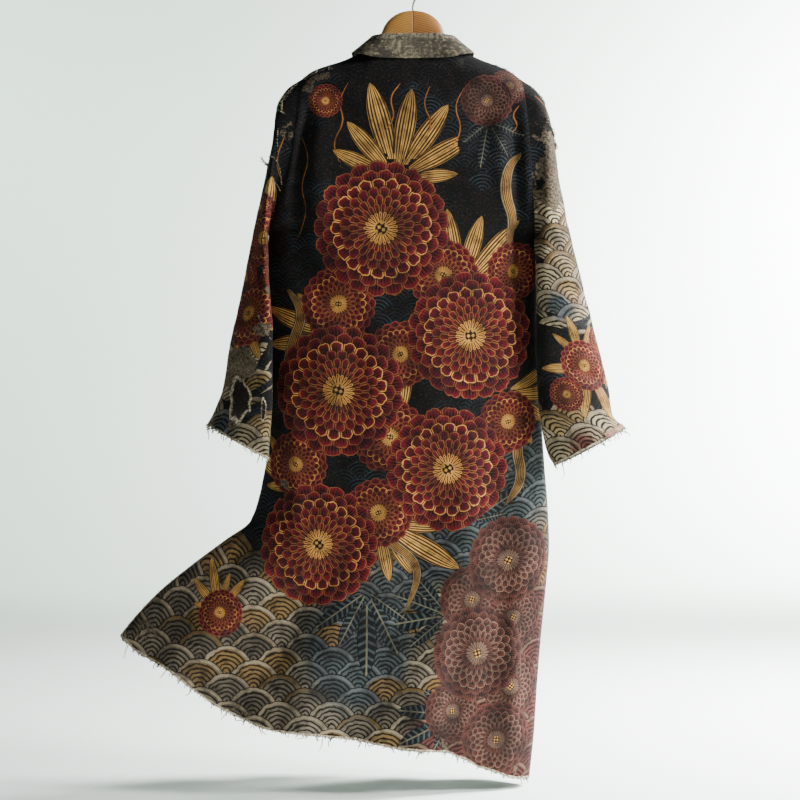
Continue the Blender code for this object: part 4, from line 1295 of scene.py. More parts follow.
@dataclass
class CollarBand:
    """The band round the neck and down both fronts, folded outwards along its length.

    Args:
        name: the piece's name.
        stations: places down each front.
        neck: places round the back of the neck.
        stand: places up the stand.
        fall: places down the fall.
        radius: of the fold, at the middle of the cloth.
        bends: degrees round the fold, 90 at its crown.
        wrinkle: height of its small wrinkles.
    """

    name: str = "collar"
    stations: int = 250
    neck: int = 60
    stand: int = 5
    fall: int = 6
    radius: float = 0.0028
    bends: tuple[int, ...] = (-60, -30, 0, 30, 60)
    wrinkle: float = 0.0008

    def seam(self) -> tuple[Grid, Grid, Grid, Grid]:
        """Follow the seam from the left front's hem over the neck to the right one's.

        Returns:
            Its points, normals, stations and side (-1 on the left, +1 on the right).
        """
        down = np.linspace(0, 1, self.stations + 1)[1:] ** 1.15
        left, right = FRONT("left_x", down), FRONT("right_x", down)
        pieces = []
        for side in (-1, 1):
            across = (side * pairs(FRONT_OPENING, down) - left) / (right - left)
            pieces.append(edge_places(1, across, down))
        turn = np.sin(np.linspace(-1, 1, self.neck + 1) * math.pi / 2)
        left_x, right_x = BACK("left_x", 0.0), BACK("right_x", 0.0)
        across = (turn * NECK_HALF - left_x) / (right_x - left_x)
        middle = edge_places(-1, across, np.zeros_like(across))
        edge = np.concatenate([pieces[0][0][::-1], middle[0], pieces[1][0]])
        normals = np.concatenate([pieces[0][1][::-1], middle[1], pieces[1][1]])
        station = np.concatenate([down[::-1], np.abs(turn) - 1, down])
        side = np.concatenate([-np.ones(len(down)), turn, np.ones(len(down))])
        ends = np.isclose(station, 0.0)
        normals[ends] = unit(normals[ends] * np.array([1.0, 0.0, 1.0]))
        return edge, normals, station, np.clip(side * 6, -1, 1)

    def cloth(self) -> Cloth:
        """Fold the band out of its seam, over and back.

        Returns:
            The cloth, ready to build.
        """
        edge, normals, station, side = self.seam()
        table = Table(COLLAR_COLUMNS, COLLAR_ROWS)

        def way(kind: str) -> Grid:
            """Read one of the band's two directions at every station."""
            parts = [table(f"{kind}_{axis}", station) for axis in "xyz"]
            return unit(np.stack([parts[0] * side, parts[1], parts[2]], axis=-1))

        stand, fall = way("stand"), way("fall")
        out = unit(normals - stand * np.sum(normals * stand, axis=1, keepdims=True))
        seam = edge - normals * CLOTH / 2 + stand * SEAM_GAP
        tall = (table("stand", station) - self.radius)[:, None]
        drop = table("fall", station)[:, None]
        path = [seam + stand * tall * share for share in np.linspace(0, 1, self.stand)]
        centre = seam + stand * tall + out * self.radius
        for degrees in self.bends:
            bend = math.radians(degrees)
            path.append(centre + self.radius * (stand * math.cos(bend) + out * math.sin(bend)))
        crown = centre + self.radius * out
        path += [crown + fall * drop * share for share in np.linspace(0, 1, self.fall)]
        grid = np.stack(path, axis=1)
        faces_out = surface_normals(grid)
        if np.sum(faces_out[:, 0] * normals) < 0:
            faces_out = -faces_out
        faces_out[:, 0] = normals
        grid = grid + faces_out * CLOTH / 2
        p, q = passed_along(edge), passed_along(grid, 1)
        spots = np.stack([np.broadcast_to(p[:, None], q.shape), q], axis=-1)
        fade = ease(np.arange(grid.shape[1]) / 3.0)
        height = self.wrinkle * (rough(spots, 0.07, 2.0) + 0.6 * rough(spots, 0.028, 5.0)) * fade
        grid = grid + faces_out * height[..., None]
        fresh = facing(surface_normals(grid), faces_out)
        fresh[:, 0] = normals
        whole = q[:, -1:]
        edge_away = np.minimum(np.minimum(p, p[-1] - p)[:, None], whole - q + 0.01)
        marks = {
            "weave": np.stack([spots[..., 0], q, whole - q], axis=-1),
            "worn": np.stack([blobs(COLLAR_WEAR, spots), q / whole, edge_away], axis=-1),
        }
        return Cloth(self.name, grid, fresh, marks)


@dataclass
class WoodenHanger:
    """The hanger's wooden body: a dome in the middle and two arms under the shoulders.

    Args:
        sides: places round each section.
        step: distance between two sections.
        reach: half the distance between its tips.
        centre: middle between the tips.
        seat: from the shoulder line down to the wood.
        arm: height and half thickness of the arms.
        narrow: how much smaller they are at the tips.
        shoulders: where the arms follow the shoulder line.
        caps: turns of the loops that round each end.
        bulge: how far the ends stand out.
    """

    sides: int = 44
    step: float = 0.0022
    reach: float = 0.1690
    centre: float = -0.0035
    seat: float = CLOTH + 2 * SEAM_GAP
    arm: tuple[float, float] = (0.026, 0.0085)
    narrow: float = 0.62
    shoulders: tuple[float, ...] = (0.090, 0.108, 0.128, 0.148, 0.160)
    caps: tuple[float, ...] = (0.5, 1.0, 1.4)
    bulge: float = 0.0016

    def sections(self) -> Grid:
        """List across, top, foot and half thickness of every section, tip to tip.

        Returns:
            A row for each section.
        """
        middle = Table(HANGER_COLUMNS, HANGER_MIDDLE)
        rows = []
        for side in (-1, 1):
            reach = self.reach + side * self.centre
            for x, *_ in HANGER_MIDDLE[1:] if side > 0 else HANGER_MIDDLE:
                rows.append((side * x, *(float(middle(name, x)) for name in HANGER_COLUMNS[1:])))
            for x in (*self.shoulders, reach):
                top = float(pairs(SHOULDER_LINE, side * x)) - self.seat
                tall, thick = (size * (self.narrow if x == reach else 1.0) for size in self.arm)
                rows.append((side * x, top, top - tall, thick))
        rows = np.array(sorted(rows))
        places = np.linspace(rows[0, 0], rows[-1, 0], int((rows[-1, 0] - rows[0, 0]) / self.step))
        return np.stack([places] + [smooth(rows[:, 0], rows[:, k], places) for k in (1, 2, 3)], axis=-1)

    def build(self, finish: Material) -> Piece:
        """Loft the wood through its sections and round its two ends.

        Args:
            finish: its material.

        Returns:
            The new object.
        """
        count = self.sides
        turn = 2 * math.pi * np.arange(count) / count
        loops = []
        for x, top, foot, thick in self.sections():
            height = (top + foot) / 2 + (top - foot) / 2 * np.cos(turn)
            loops.append(np.stack([np.full_like(turn, x), thick * np.sin(turn), height], axis=-1))
        for end, way in ((0, -1), (-1, 1)):
            middle = loops[end].mean(axis=0)
            caps = [
                middle + (loops[end] - middle) * math.cos(bend) + [way * self.bulge * math.sin(bend), 0, 0]
                for bend in self.caps
            ]
            loops = caps[::-1] + loops if end == 0 else loops + caps
        last = (len(loops) - 1) * count
        faces = [tuple(range(count)), tuple(range(last + count - 1, last - 1, -1))]
        for k in range(0, last, count):
            for i in range(count):
                after = (i + 1) % count
                faces.append((k + i, k + count + i, k + count + after, k + after))
        mesh = bpy.data.meshes.new("hanger")
        mesh.from_pydata(np.concatenate(loops).tolist(), [], faces)
        bm = bmesh.new()
        bm.from_mesh(mesh)
        bmesh.ops.recalc_face_normals(bm, faces=bm.faces)
        bm.to_mesh(mesh)
        bm.free()
        mesh.materials.append(finish)
        mesh.shade_smooth()
        mesh.set_sharp_from_angle(angle=SHARP)
        return link("hanger", mesh)


@dataclass
class WireHook:
    """The hanger's hook: straight out of the wood, then three quarters of a circle.

    Args:
        wire: thickness of the wire.
        radius: of the curl, at the wire's middle line.
        curl: degrees round the curl at its start and end, and between two points; 0 is +X.
        straight: length of the straight foot.
        handle: how softly the wire swings into the curl.
        steps: points from the foot to the curl.
    """

    wire: float = 0.0039
    radius: float = 0.0235
    curl: tuple[int, int, int] = (-58, 205, 5)
    straight: float = 0.003
    handle: float = 0.010
    steps: int = 18

    def route(self) -> list[tuple[float, float]]:
        """List x and z of the wire's middle line.

        Returns:
            The points, foot first.
        """
        centre = self.wire / 2 - self.radius
        foot = HANGER_MIDDLE[0][1] + SEAM_GAP
        first, last, step = self.curl
        start = math.radians(first)
        bottom = np.array([0.0, foot + self.straight])
        top = np.array([self.radius * math.cos(start), centre + self.radius * math.sin(start)])
        heading = np.array([-math.sin(start), math.cos(start)])
        near, far = bottom + [0.0, self.handle], top - heading * self.handle
        route = [(0.0, foot)]
        for share in np.arange(self.steps) / self.steps:
            rest = 1 - share
            place = rest ** 3 * bottom + 3 * rest ** 2 * share * near
            place += 3 * rest * share ** 2 * far + share ** 3 * top
            route.append(tuple(place.tolist()))
        for degrees in range(first, last + 1, step):
            turn = math.radians(degrees)
            route.append((self.radius * math.cos(turn), centre + self.radius * math.sin(turn)))
        return route

    def build(self, finish: Material) -> Piece:
        """Bend the wire.

        Args:
            finish: its material.

        Returns:
            The new object.
        """
        curve = bpy.data.curves.new("hook", "CURVE")
        curve.dimensions = "3D"
        curve.bevel_depth = self.wire / 2
        curve.bevel_resolution = 6
        curve.use_fill_caps = True
        spline = curve.splines.new("POLY")
        route = self.route()
        spline.points.add(len(route) - 1)
        for point, (x, z) in zip(spline.points, route):
            point.co = (x, 0.0, z, 1.0)
        curve.materials.append(finish)
        return link("hook", curve)


@dataclass
class LooseThreads:
    """Fibres and threads that stand out of one piece's raw edges, joined in one mesh.

    Args:
        name: the mesh's name.
        seed: fixes every random choice.
        radius: radius of a thread at its root.
        buried: how much of it is inside the cloth.
        weight: how much its own weight bends it at each step.
        taper: its radius at each place along it, as a share.
    """

    name: str
    seed: int
    radius: float = 0.00027
    buried: float = 0.0012
    weight: float = 0.35
    taper: tuple[float, ...] = (1.0, 1.0, 0.95, 0.8, 0.45)

    def __post_init__(self) -> None:
        """Start with no threads."""
        self.random = np.random.default_rng(self.seed)
        self.runs: list[Grid] = []
        self.thick: list[Grid] = []

    def along(
        self, path: Grid, out: Grid, per_metre: float, shortest: float, longest: float,
        loose: float = 0.35, rare: float = 4.0, thick: float = 1.0,
    ) -> None:
        """Set threads along an edge.

        Args:
            path: the edge's points.
            out: the way out of the cloth at each point.
            per_metre: how many there are.
            shortest: length of the shortest.
            longest: length of the longest.
            loose: how far they lean at random.
            rare: power that makes the long ones rare.
            thick: how much thicker they are than the thinnest.
        """
        passed = passed_along(path)
        count = int(passed[-1] * per_metre)
        if not count:
            return
        at = self.random.uniform(0, passed[-1], count)
        root = np.stack([np.interp(at, passed, path[:, k]) for k in range(3)], axis=-1)
        heading = np.stack([np.interp(at, passed, out[:, k]) for k in range(3)], axis=-1)
        heading = unit(unit(heading) + self.random.normal(0, loose, (count, 3)))
        length = shortest + (longest - shortest) * self.random.random(count) ** rare
        points = [root - heading * self.buried]
        steps = len(self.taper) - 1
        for k in range(steps):
            points.append(points[-1] + heading * (length[:, None] + self.buried * (k == 0)) / steps)
            bend = self.random.normal(0, loose * 0.9, (count, 3)) - [0.0, 0.0, self.weight]
            heading = unit(heading + bend)
        self.runs.append(np.stack(points, axis=1))
        self.thick.append(np.full(count, thick))

    def build(self, finish: Material) -> Piece:
        """Make every thread a thin three-sided tube.

        Args:
            finish: their material.

        Returns:
            The new object.
        """
        runs = np.concatenate(self.runs)
        count, steps = runs.shape[:2]
        tangent = unit(np.gradient(runs, axis=1))
        side = unit(np.cross(tangent, np.array([0.35, 0.9, 0.2])))
        over = np.cross(tangent, side)
        thick = self.radius * np.array(self.taper)[None, :, None, None]
        turn = (2 * math.pi * np.arange(3) / 3)[None, None, :, None]
        ring = np.cos(turn) * side[:, :, None] + np.sin(turn) * over[:, :, None]
        points = runs[:, :, None] + ring * thick * np.concatenate(self.thick)[:, None, None, None]
        base = (np.arange(count) * steps * 3)[:, None, None, None]
        k, i = np.meshgrid(np.arange(steps - 1), np.arange(3), indexing="ij")
        after = (i + 1) % 3
        quad = np.stack([k * 3 + i, k * 3 + after, (k + 1) * 3 + after, (k + 1) * 3 + i], axis=-1)
        quads = (base + quad[None]).reshape(-1, 4)
        tips = base[:, 0, 0] + np.array([[2, 1, 0]])
        ends = base[:, 0, 0] + (steps - 1) * 3 + np.array([[0, 1, 2]])
        mesh = bpy.data.meshes.new(self.name)
        mesh.from_pydata(points.reshape(-1, 3).tolist(), [], quads.tolist() + tips.tolist() + ends.tolist())
        tone = np.repeat(self.random.random(count), steps * 3)
        layer = mesh.attributes.new("tone", "FLOAT_VECTOR", "POINT")
        layer.data.foreach_set("vector", np.repeat(tone, 3).astype(np.float32))
        mesh.materials.append(finish)
        mesh.shade_smooth()
        return link(self.name, mesh)


def paint(code: str) -> Colour:
    """Turn a screen colour's six-digit code into linear light."""
    parts = (int(code[k:k + 2], 16) / 255 for k in (0, 2, 4))
    return tuple(part / 12.92 if part <= 0.04045 else ((part + 0.055) / 1.055) ** 2.4 for part in parts)


Number = "Value | float"


def operation(name: str, swap: bool = False) -> Callable[..., "Value"]:
    """Make an operator that adds one kind of Math node.

    Args:
        name: what the node works out.
        swap: whether the operator's own value comes second.

    Returns:
        The operator, as a method of Value.
    """

    def method(value: "Value", *others: Number) -> "Value":
        """Add the node."""
        values = (*others, value) if swap else (value, *others)
        return value.board.node("ShaderNodeMath", {"operation": name}, dict(enumerate(values)))

    return method


class Value:
    """A socket that Python's operators turn into Math nodes."""

    def __init__(self, board: "Board", socket: bpy.types.NodeSocket) -> None:
        """Keep the socket and the board that it is on."""
        self.board = board
        self.socket = socket

    __add__ = __radd__ = operation("ADD")
    __sub__, __rsub__ = operation("SUBTRACT"), operation("SUBTRACT", swap=True)
    __mul__ = __rmul__ = operation("MULTIPLY")
    __truediv__, __rtruediv__ = operation("DIVIDE"), operation("DIVIDE", swap=True)
    __pow__ = operation("POWER")
    __abs__ = operation("ABSOLUTE")
    floor = operation("FLOOR")
    fraction = operation("FRACT")
    sine = operation("SINE")
    least = operation("MINIMUM")
    most = operation("MAXIMUM")
    above = operation("GREATER_THAN")  # 1 where this is the larger
    turn = operation("ARCTAN2")  # angle whose tangent is this over the other

    def stripe(self, low: float, high: float) -> "Value":
        """Give 1 halfway between whole numbers, fading to 0 from one distance to another."""
        return 1 - abs(self.fraction() - 0.5).step(low, high)

    def step(self, low: float, high: float) -> "Value":
        """Rise smoothly from 0 at one value to 1 at another."""
        settings = {"interpolation_type": "SMOOTHSTEP", "clamp": True}
        return self.board.node("ShaderNodeMapRange", settings, {0: self, 1: low, 2: high, 3: 0.0, 4: 1.0})


@dataclass
class Layer:
    """One layer of a finish.

    Args:
        mask: where it shows.
        colour: its colour.
        height: its height, 0 to 1.
    """

    mask: Any
    colour: Any
    height: Any


class Board:
    """The nodes of one material."""

    def __init__(self, name: str, roughness: float, **constants: float) -> None:
        """Start a material with its shader.

        Args:
            name: the material's name.
            roughness: how rough it is.
            constants: other values of the shader, by socket with _ for spaces.
        """
        self.material = bpy.data.materials.new(name)
        self.material.use_nodes = True
        self.nodes = self.material.node_tree.nodes
        self.links = self.material.node_tree.links
        self.shader = self.nodes["Principled BSDF"]
        self.shader.inputs["Roughness"].default_value = roughness
        for key, value in constants.items():
            self.shader.inputs[key.replace("_", " ")].default_value = value

    def node(self, kind: str, settings: dict[str, Any], inputs: dict[Any, Any], output: Any = 0) -> Value:
        """Add a node.

        Args:
            kind: its type.
            settings: what is set on it first; stops are a ramp's (place, colour) rows.
            inputs: values or links of its sockets.
            output: which of its outputs is wanted.

        Returns:
            That output.
        """
        node = self.nodes.new(kind)
        for key, value in settings.items():
            if key == "stops":
                ramp = node.color_ramp
                while len(ramp.elements) < len(value):
                    ramp.elements.new(1.0)
                for element, (place, colour) in zip(ramp.elements, value):
                    element.position, element.color = place, (*paint(colour), 1.0)
            else:
                setattr(node, key, value)
        for key, value in inputs.items():
            self.feed(node.inputs[key], value)
        return Value(self, node.outputs[output])

    def feed(self, socket: bpy.types.NodeSocket, value: Any) -> None:
        """Link a socket, or set its value.

        Args:
            socket: the input.
            value: a Value, a number, a vector or a colour's code.
        """
        if isinstance(value, Value):
            self.links.new(value.socket, socket)
        else:
            socket.default_value = (*paint(value), 1.0) if isinstance(value, str) else value

    def split(self, vector: Value) -> tuple[Value, Value, Value]:
        """Take a vector apart.

        Args:
            vector: what is taken apart.

        Returns:
            Its three values.
        """
        node = self.nodes.new("ShaderNodeSeparateXYZ")
        self.feed(node.inputs[0], vector)
        return tuple(Value(self, output) for output in node.outputs)

    def parts(self, name: str) -> tuple[Value, Value, Value]:
        """Read the three values of a named field."""
        return self.split(self.node("ShaderNodeAttribute", {"attribute_name": name}, {}, "Vector"))

    def vector(self, x: Number, y: Number, z: Number = 0.0) -> Value:
        """Join three values."""
        return self.node("ShaderNodeCombineXYZ", {}, {0: x, 1: y, 2: z})

    def spots(self) -> Value:
        """Read the place on the object."""
        return self.node("ShaderNodeTexCoord", {}, {}, "Object")

    def noise(
        self, where: Value, scale: float, detail: float = 3.0, rough: float = 0.55, space: str = "3D",
    ) -> Value:
        """Add cloudy noise from 0 to 1."""
        inputs = {"Vector": where, "Scale": scale, "Detail": detail, "Roughness": rough}
        return self.node("ShaderNodeTexNoise", {"noise_dimensions": space}, inputs)

    def random(self, where: Value) -> Value:
        """Give each whole number its own random value."""
        return self.node("ShaderNodeTexWhiteNoise", {"noise_dimensions": "1D"}, {"W": where})

    def mix(self, share: Number, under: Any, over: Any, way: str = "MIX") -> Value:
        """Lay so much of one colour over another."""
        settings = {"data_type": "RGBA", "blend_type": way}
        return self.node("ShaderNodeMix", settings, {0: share, 6: under, 7: over}, 2)

    def cover(self, under: Layer, over: Layer) -> Layer:
        """Lay one layer over another."""
        height = under.height * (1 - over.mask) + over.height * over.mask
        return Layer(under.mask, self.mix(over.mask, under.colour, over.colour), height)

    def close(self, colour: Any, height: Value, relief: float, roughness: Value | None = None) -> Material:
        """Feed the shader.

        Args:
            colour: the surface's colour.
            height: its relief, 0 to 1.
            relief: the relief's depth in metres.
            roughness: its roughness where it varies.

        Returns:
            The finished material.
        """
        self.feed(self.shader.inputs["Base Color"], colour)
        normal = self.node("ShaderNodeBump", {}, {"Height": height, "Distance": relief, "Strength": 1.0})
        self.feed(self.shader.inputs["Normal"], normal)
        if roughness is not None:
            self.feed(self.shader.inputs["Roughness"], roughness)
        return self.material


@dataclass(frozen=True)
class Finish:
    """What every finish has.

    Args:
        name: the material's name.
        roughness: how rough it is.
        relief: how far its relief stands out.
    """

    name: str
    roughness: float
    relief: float = 0.0


@dataclass(frozen=True)
class FiguredCloth(Finish):
    """Heavy woven cloth: flower heads, leaves, streamers and wave scales on a dark ground.

    Args:
        wave: radius of a wave scale.
        scale: radius of a scale of the dark ground.
        rings: how many rings of petals a flower head has.
        petals: how many petals each ring has.
        pale: the two colours of a wave scale's ridges.
        waver: how far the wave scales' lines waver.
        twill: width of the twill's ribs.
    """

    name: str = "figured cloth"
    roughness: float = 0.86
    relief: float = 0.0016
    wave: float = 0.046
    scale: float = 0.030
    rings: float = 8.0
    petals: float = 21.0
    pale: tuple[str, str] = ("6b6152", "473f35")
    waver: float = 0.0045
    twill: float = 0.0021

    def build(self) -> Material:
        """Make the material.

        Returns:
            The finished material.
        """
        board = Board(self.name, self.roughness, Sheen_Weight=0.02, Specular_IOR_Level=0.14)
        p, q, shore = board.parts("weave")
        bloom_on, bud_on, ribbon_on = (mark.step(0.96, 0.99) for mark in board.parts("drawn"))
        leaf_on, frond_on = (mark.step(0.96, 0.99) for mark in board.parts("lined")[:2])
        wear, tint, edge = board.parts("worn")
        flat = board.vector(p * 0.8 + q * 0.6, q * 0.8 - p * 0.6)
        grain = board.noise(flat, 46, 4, 0.6, space="2D")
        waver = board.noise(flat, 95, 1, 0.5, space="2D") - 0.5
        layer = self.ground(board, p, q, flat, grain)
        for over in (
            self.waves(board, p + waver * self.waver, q + waver * self.waver, shore, tint),
            self.leaf(board, "leaf", leaf_on),
            self.leaf(board, "frond", frond_on),
            self.ribbon(board, ribbon_on),
            self.head(board, "bud", bud_on, waver),
            self.head(board, "bloom", bloom_on, waver),
        ):
            layer = board.cover(layer, over)
        return self.worn(board, layer, p + q, flat, grain, wear, edge)

    def scales(self, board: Board, p: Value, q: Value, shore: Number, radius: float) -> tuple[Value, ...]:
        """Lay out overlapping round scales.

        Args:
            board: the material's nodes.
            p: place across.
            q: place down.
            shore: above 0 where scales lie.
            radius: their radius.

        Returns:
            Where one shows, the distance and turn round its middle, and its own number.
        """
        rise = radius / 2
        row = (q / rise).floor()
        free, shown, distance, turn, number = 1, 0, 0, 0, 0
        for ahead in (2, 1, 0):
            k = row + float(ahead)
            down = k * rise - q
            shift = (k * 0.5).fraction()
            column = (p / (2 * radius) - shift + 0.5).floor()
            over = p - (column + shift) * (2 * radius)
            away = (over * over + down * down) ** 0.5
            here = (radius - away).above(0) * (down + shore).above(0) * free
            shown = here + shown
            distance = here * away + distance
            turn = here * over.turn(down) + turn
            number = here * (column * 7.13 + k * 3.71) + number
            free = free - here
        return shown, distance, turn, number

    def ground(self, board: Board, p: Value, q: Value, flat: Value, grain: Value) -> Layer:
        """Weave the dark ground: faint slate swirls and a rust-brown crackle.

        Args:
            board: the material's nodes.
            p: place across.
            q: place down.
            flat: place on the cloth, turned out of line with its mesh.
            grain: uneven noise.

        Returns:
            The ground's layer.
        """
        shown, distance, turn, number = self.scales(board, p, q, 1, self.scale)
        line = (distance / 0.0062 + turn / (2 * math.pi)).stripe(0.10, 0.24)
        cloud = board.noise(flat, 9, 2, space="2D").step(0.40, 0.62)
        line = line * (cloud * 0.75 + 0.1) * (board.random(number) * 0.7 + 0.3)
        colour = board.mix(line, "020202", "2b3942")
        settings = {"feature": "DISTANCE_TO_EDGE", "voronoi_dimensions": "2D"}
        crack = board.node("ShaderNodeTexVoronoi", settings, {"Vector": flat, "Scale": 125})
        crackle = (1 - crack.step(0.03, 0.10)) * grain.step(0.42, 0.62)
        colour = board.mix(crackle * 0.7, colour, "2a170e")
        return Layer(shown, colour, line * 0.25 + crackle * 0.15 + 0.1)

    def waves(self, board: Board, p: Value, q: Value, shore: Value, tint: Value) -> Layer:
        """Weave the wave scales, each a spiral of ridges.

        Args:
            board: the material's nodes.
            p: place across.
            q: place down.
            shore: above 0 where they lie.
            tint: -1 for slate, +1 for rose.

        Returns:
            The wave scales' layer.
        """
        shown, distance, turn, number = self.scales(board, p, q, shore, self.wave)
        swirl = (distance / 0.0072 + turn / (2 * math.pi)).fraction()
        ridge = 1 - abs(swirl - 0.5) * 2
        tone = board.random(number)
        out = distance / self.wave
        rim = out.step(0.83, 0.86)
        light = board.mix(tone, *self.pale)
        dark = board.mix(tone, "181410", "0a0807")
        cold, warm = (0 - tint).step(0.15, 0.7), tint.step(0.15, 0.7)

        def tinted(colour: Any, slate: str, rose: str) -> Value:
            """Turn a colour slate or rose where the design asks for it."""
            return board.mix(warm, board.mix(cold, colour, slate), rose)

        light, dark = tinted(light, "373d3e", "502822"), tinted(dark, "07090a", "1d0708")
        gold = (tone * 17).fraction().step(0.84, 0.86)
        light = board.mix(gold * 0.7, light, "735628")
        colour = board.mix(ridge.step(0.22, 0.60), dark, light)
        band = board.mix((tone * 5).fraction().step(0.70, 0.72), "877964", "5d482b")
        colour = board.mix(rim * 0.85, colour, tinted(band, "4f5353", "664e3d"))
        outline = out.step(0.955, 0.975) + rim * (1 - out.step(0.84, 0.87)) * 0.8
        colour = board.mix(outline.least(1), colour, "070606")
        height = ridge * 0.35 + rim * 0.25 + 0.25 - outline * 0.2
        return Layer(shown, colour, height)

    def leaf(self, board: Board, name: str, drawn: Value) -> Layer:
        """Weave the leaves: long and lined in gold, or slate with side veins.

        Args:
            board: the material's nodes.
            name: the field with each place's own place in its leaf.
            drawn: 1 where that field holds good.

        Returns:
            The leaves' layer.
        """
        along, across, slate = board.parts(name)
        reach = (1 - along * along).most(0) ** 0.75
        half = reach * (along * 0.2 + 1) * LEAF_SLENDER
        side = abs(across)
        edge = half - side
        mask = edge.step(0, 0.012) * drawn
        lines = (side / half.most(0.01) * 3.6 + 0.15).stripe(0.12, 0.34)
        veins = (side * 2.6 - along * 5).stripe(0.10, 0.26)
        ribs = lines * (1 - slate) + veins * slate
        dark = board.mix(slate, "2d1c08", "090d10")
        light = board.mix(slate, "c4934b", "363d3f")
        colour = board.mix(ribs, dark, light)
        middle = 1 - side.step(0.012, 0.030)
        colour = board.mix(middle * slate, colour, "615b49")
        outline = 1 - edge.step(0.018, 0.036)
        colour = board.mix(outline, colour, "080606")
        return Layer(mask, colour, ribs * 0.3 + 0.35 - outline * 0.3)

    def ribbon(self, board: Board, drawn: Value) -> Layer:
        """Weave the streamers, and the thin bright tendrils of the dark upper part.

        Args:
            board: the material's nodes.
            drawn: 1 where the field ribbon holds good.

        Returns:
            Their layer.
        """
        along, across, thin = board.parts("ribbon")
        side = abs(across)
        broad = 1 - side.step(1.12, 1.18)
        fine = 1 - side.step(1.7, 2.3)
        mask = (broad * (1 - thin) + fine * thin) * drawn
        lines = (side * 3).stripe(0.14, 0.34)
        colour = board.mix(lines, "340c0e", "8f6c35")
        colour = board.mix(side.step(0.80, 0.86), colour, "817259")
        colour = board.mix(side.step(0.98, 1.04), colour, "080606")
        pale = board.mix(side.step(0.7, 1.4), "b57430", "4f1a10")
        colour = board.mix(thin, colour, pale)
        return Layer(mask, colour, lines * 0.2 + 0.55)

    def head(self, board: Board, name: str, drawn: Value, waver: Value) -> Layer:
        """Weave flower heads: rings of scalloped petals round a dotted middle, each petal darker towards its
        base as painted shade under the inner ring's petals.

        Args:
            board: the material's nodes.
            name: the field with each place's own place in its flower.
            drawn: 1 where that field holds good.
            waver: makes the petals slightly uneven.

        Returns:
            The flowers' layer.
        """
        over, down, tone = board.parts(name)
        radius = (over * over + down * down) ** 0.5
        turn = over.turn(down) * (self.petals / (2 * math.pi))
        far = radius * self.rings + waver * 0.5
        ring = far.floor()
        offset = (ring * 0.5).fraction()
        first = abs((turn + offset).fraction() * 2 - 1)
        second = abs((turn - offset + 0.5).fraction() * 2 - 1)
        limit = ring + 1 - first * first * 0.45
        beyond = far.above(limit)
        across = first + (second - first) * beyond
        limit = ring + beyond + 1 - across * across * 0.45
        ring = ring + beyond
        inside = limit - far
        border = (inside / self.rings).least((1 - across) * radius * (math.pi / self.petals))
        mask = (self.rings - 0.5 - ring).above(0) * drawn
        # Painted shade: each petal goes from a lighter tip to a dark base, as if shaded by the ring of petals
        # over it
        red = board.mix(inside.step(0.1, 1), "5c0e19", "150206")
        rose = board.mix(inside.step(0.1, 1), "4a221e", "160404")
        ribs = (across * 2.6).stripe(0.10, 0.34)
        body = board.mix(tone, red, rose)
        colour = board.mix(ribs * 0.40, body, board.mix(tone, "6f1c22", "57372c"))
        rim = border.step(0.006, 0.010) * (1 - border.step(0.018, 0.026))
        gold = board.random(ring * 3.1 + tone).step(0.45, 0.55) * 0.7 + 0.2
        colour = board.mix(rim * gold, colour, board.mix(tone, "d59949", "765d4c"))
        outline = 1 - border.step(0.003, 0.009)
        colour = board.mix(outline, colour, "060203")
        height = (border * 22).least(1) * 0.30 + rim * 0.10 + 0.45 + ribs * 0.06
        middle = 1 - radius.step(0.085, 0.095)
        dots = (over * 60).sine() * (down * 60).sine()
        heart = board.mix(dots.step(0, 0.4), "201007", "c79347")
        colour = board.mix(middle, colour, heart)
        return Layer(mask, colour, height + middle * (dots * 0.1 + 0.15))

    def worn(
        self, board: Board, layer: Layer, slant: Value, flat: Value, grain: Value, wear: Value, edge: Value,
    ) -> Material:
        """Rub the cloth pale, fray its raw edges and close the material.

        Args:
            board: the material's nodes.
            layer: everything that is woven.
            slant: place along the twill's slope.
            flat: place on the cloth, turned out of line with its mesh.
            grain: uneven noise.
            wear: how much the cloth is rubbed.
            edge: distance from the nearest raw edge.

        Returns:
            The finished material.
        """
        broad = board.noise(flat, 17, 3, 0.6, space="2D")
        colour = board.mix(broad.step(0.38, 0.72) * 0.55, layer.colour, "090708")
        colour = board.mix(grain.step(0.46, 0.70) * 0.50, colour, "0b0909")
        dust = board.noise(flat, 230, 4, 0.7, space="2D")
        colour = board.mix(dust.step(0.58, 0.72) * 0.09, colour, "857b68")
        rubbed = (wear + (grain - 0.5) * 1.5 + (dust - 0.5) * 0.5 - 0.48).step(0, 0.10)
        pale = board.mix(broad, "6a5c47", "463c32")
        bare = board.mix(dust.step(0.40, 0.58), "28231e", pale)
        colour = board.mix(rubbed * 0.92, colour, bare)
        frayed = 1 - (edge - grain * 0.006).step(0, 0.0012)
        colour = board.mix(frayed, colour, board.mix(dust.step(0.35, 0.65), "5a4d40", "b9ab93"))
        twill = (slant * (2 * math.pi / self.twill)).sine() * 0.5 + 0.5
        height = layer.height * (1 - rubbed * 0.7) + twill * 0.04 + dust * 0.12 + frayed * 0.2
        return board.close(colour, height, self.relief)


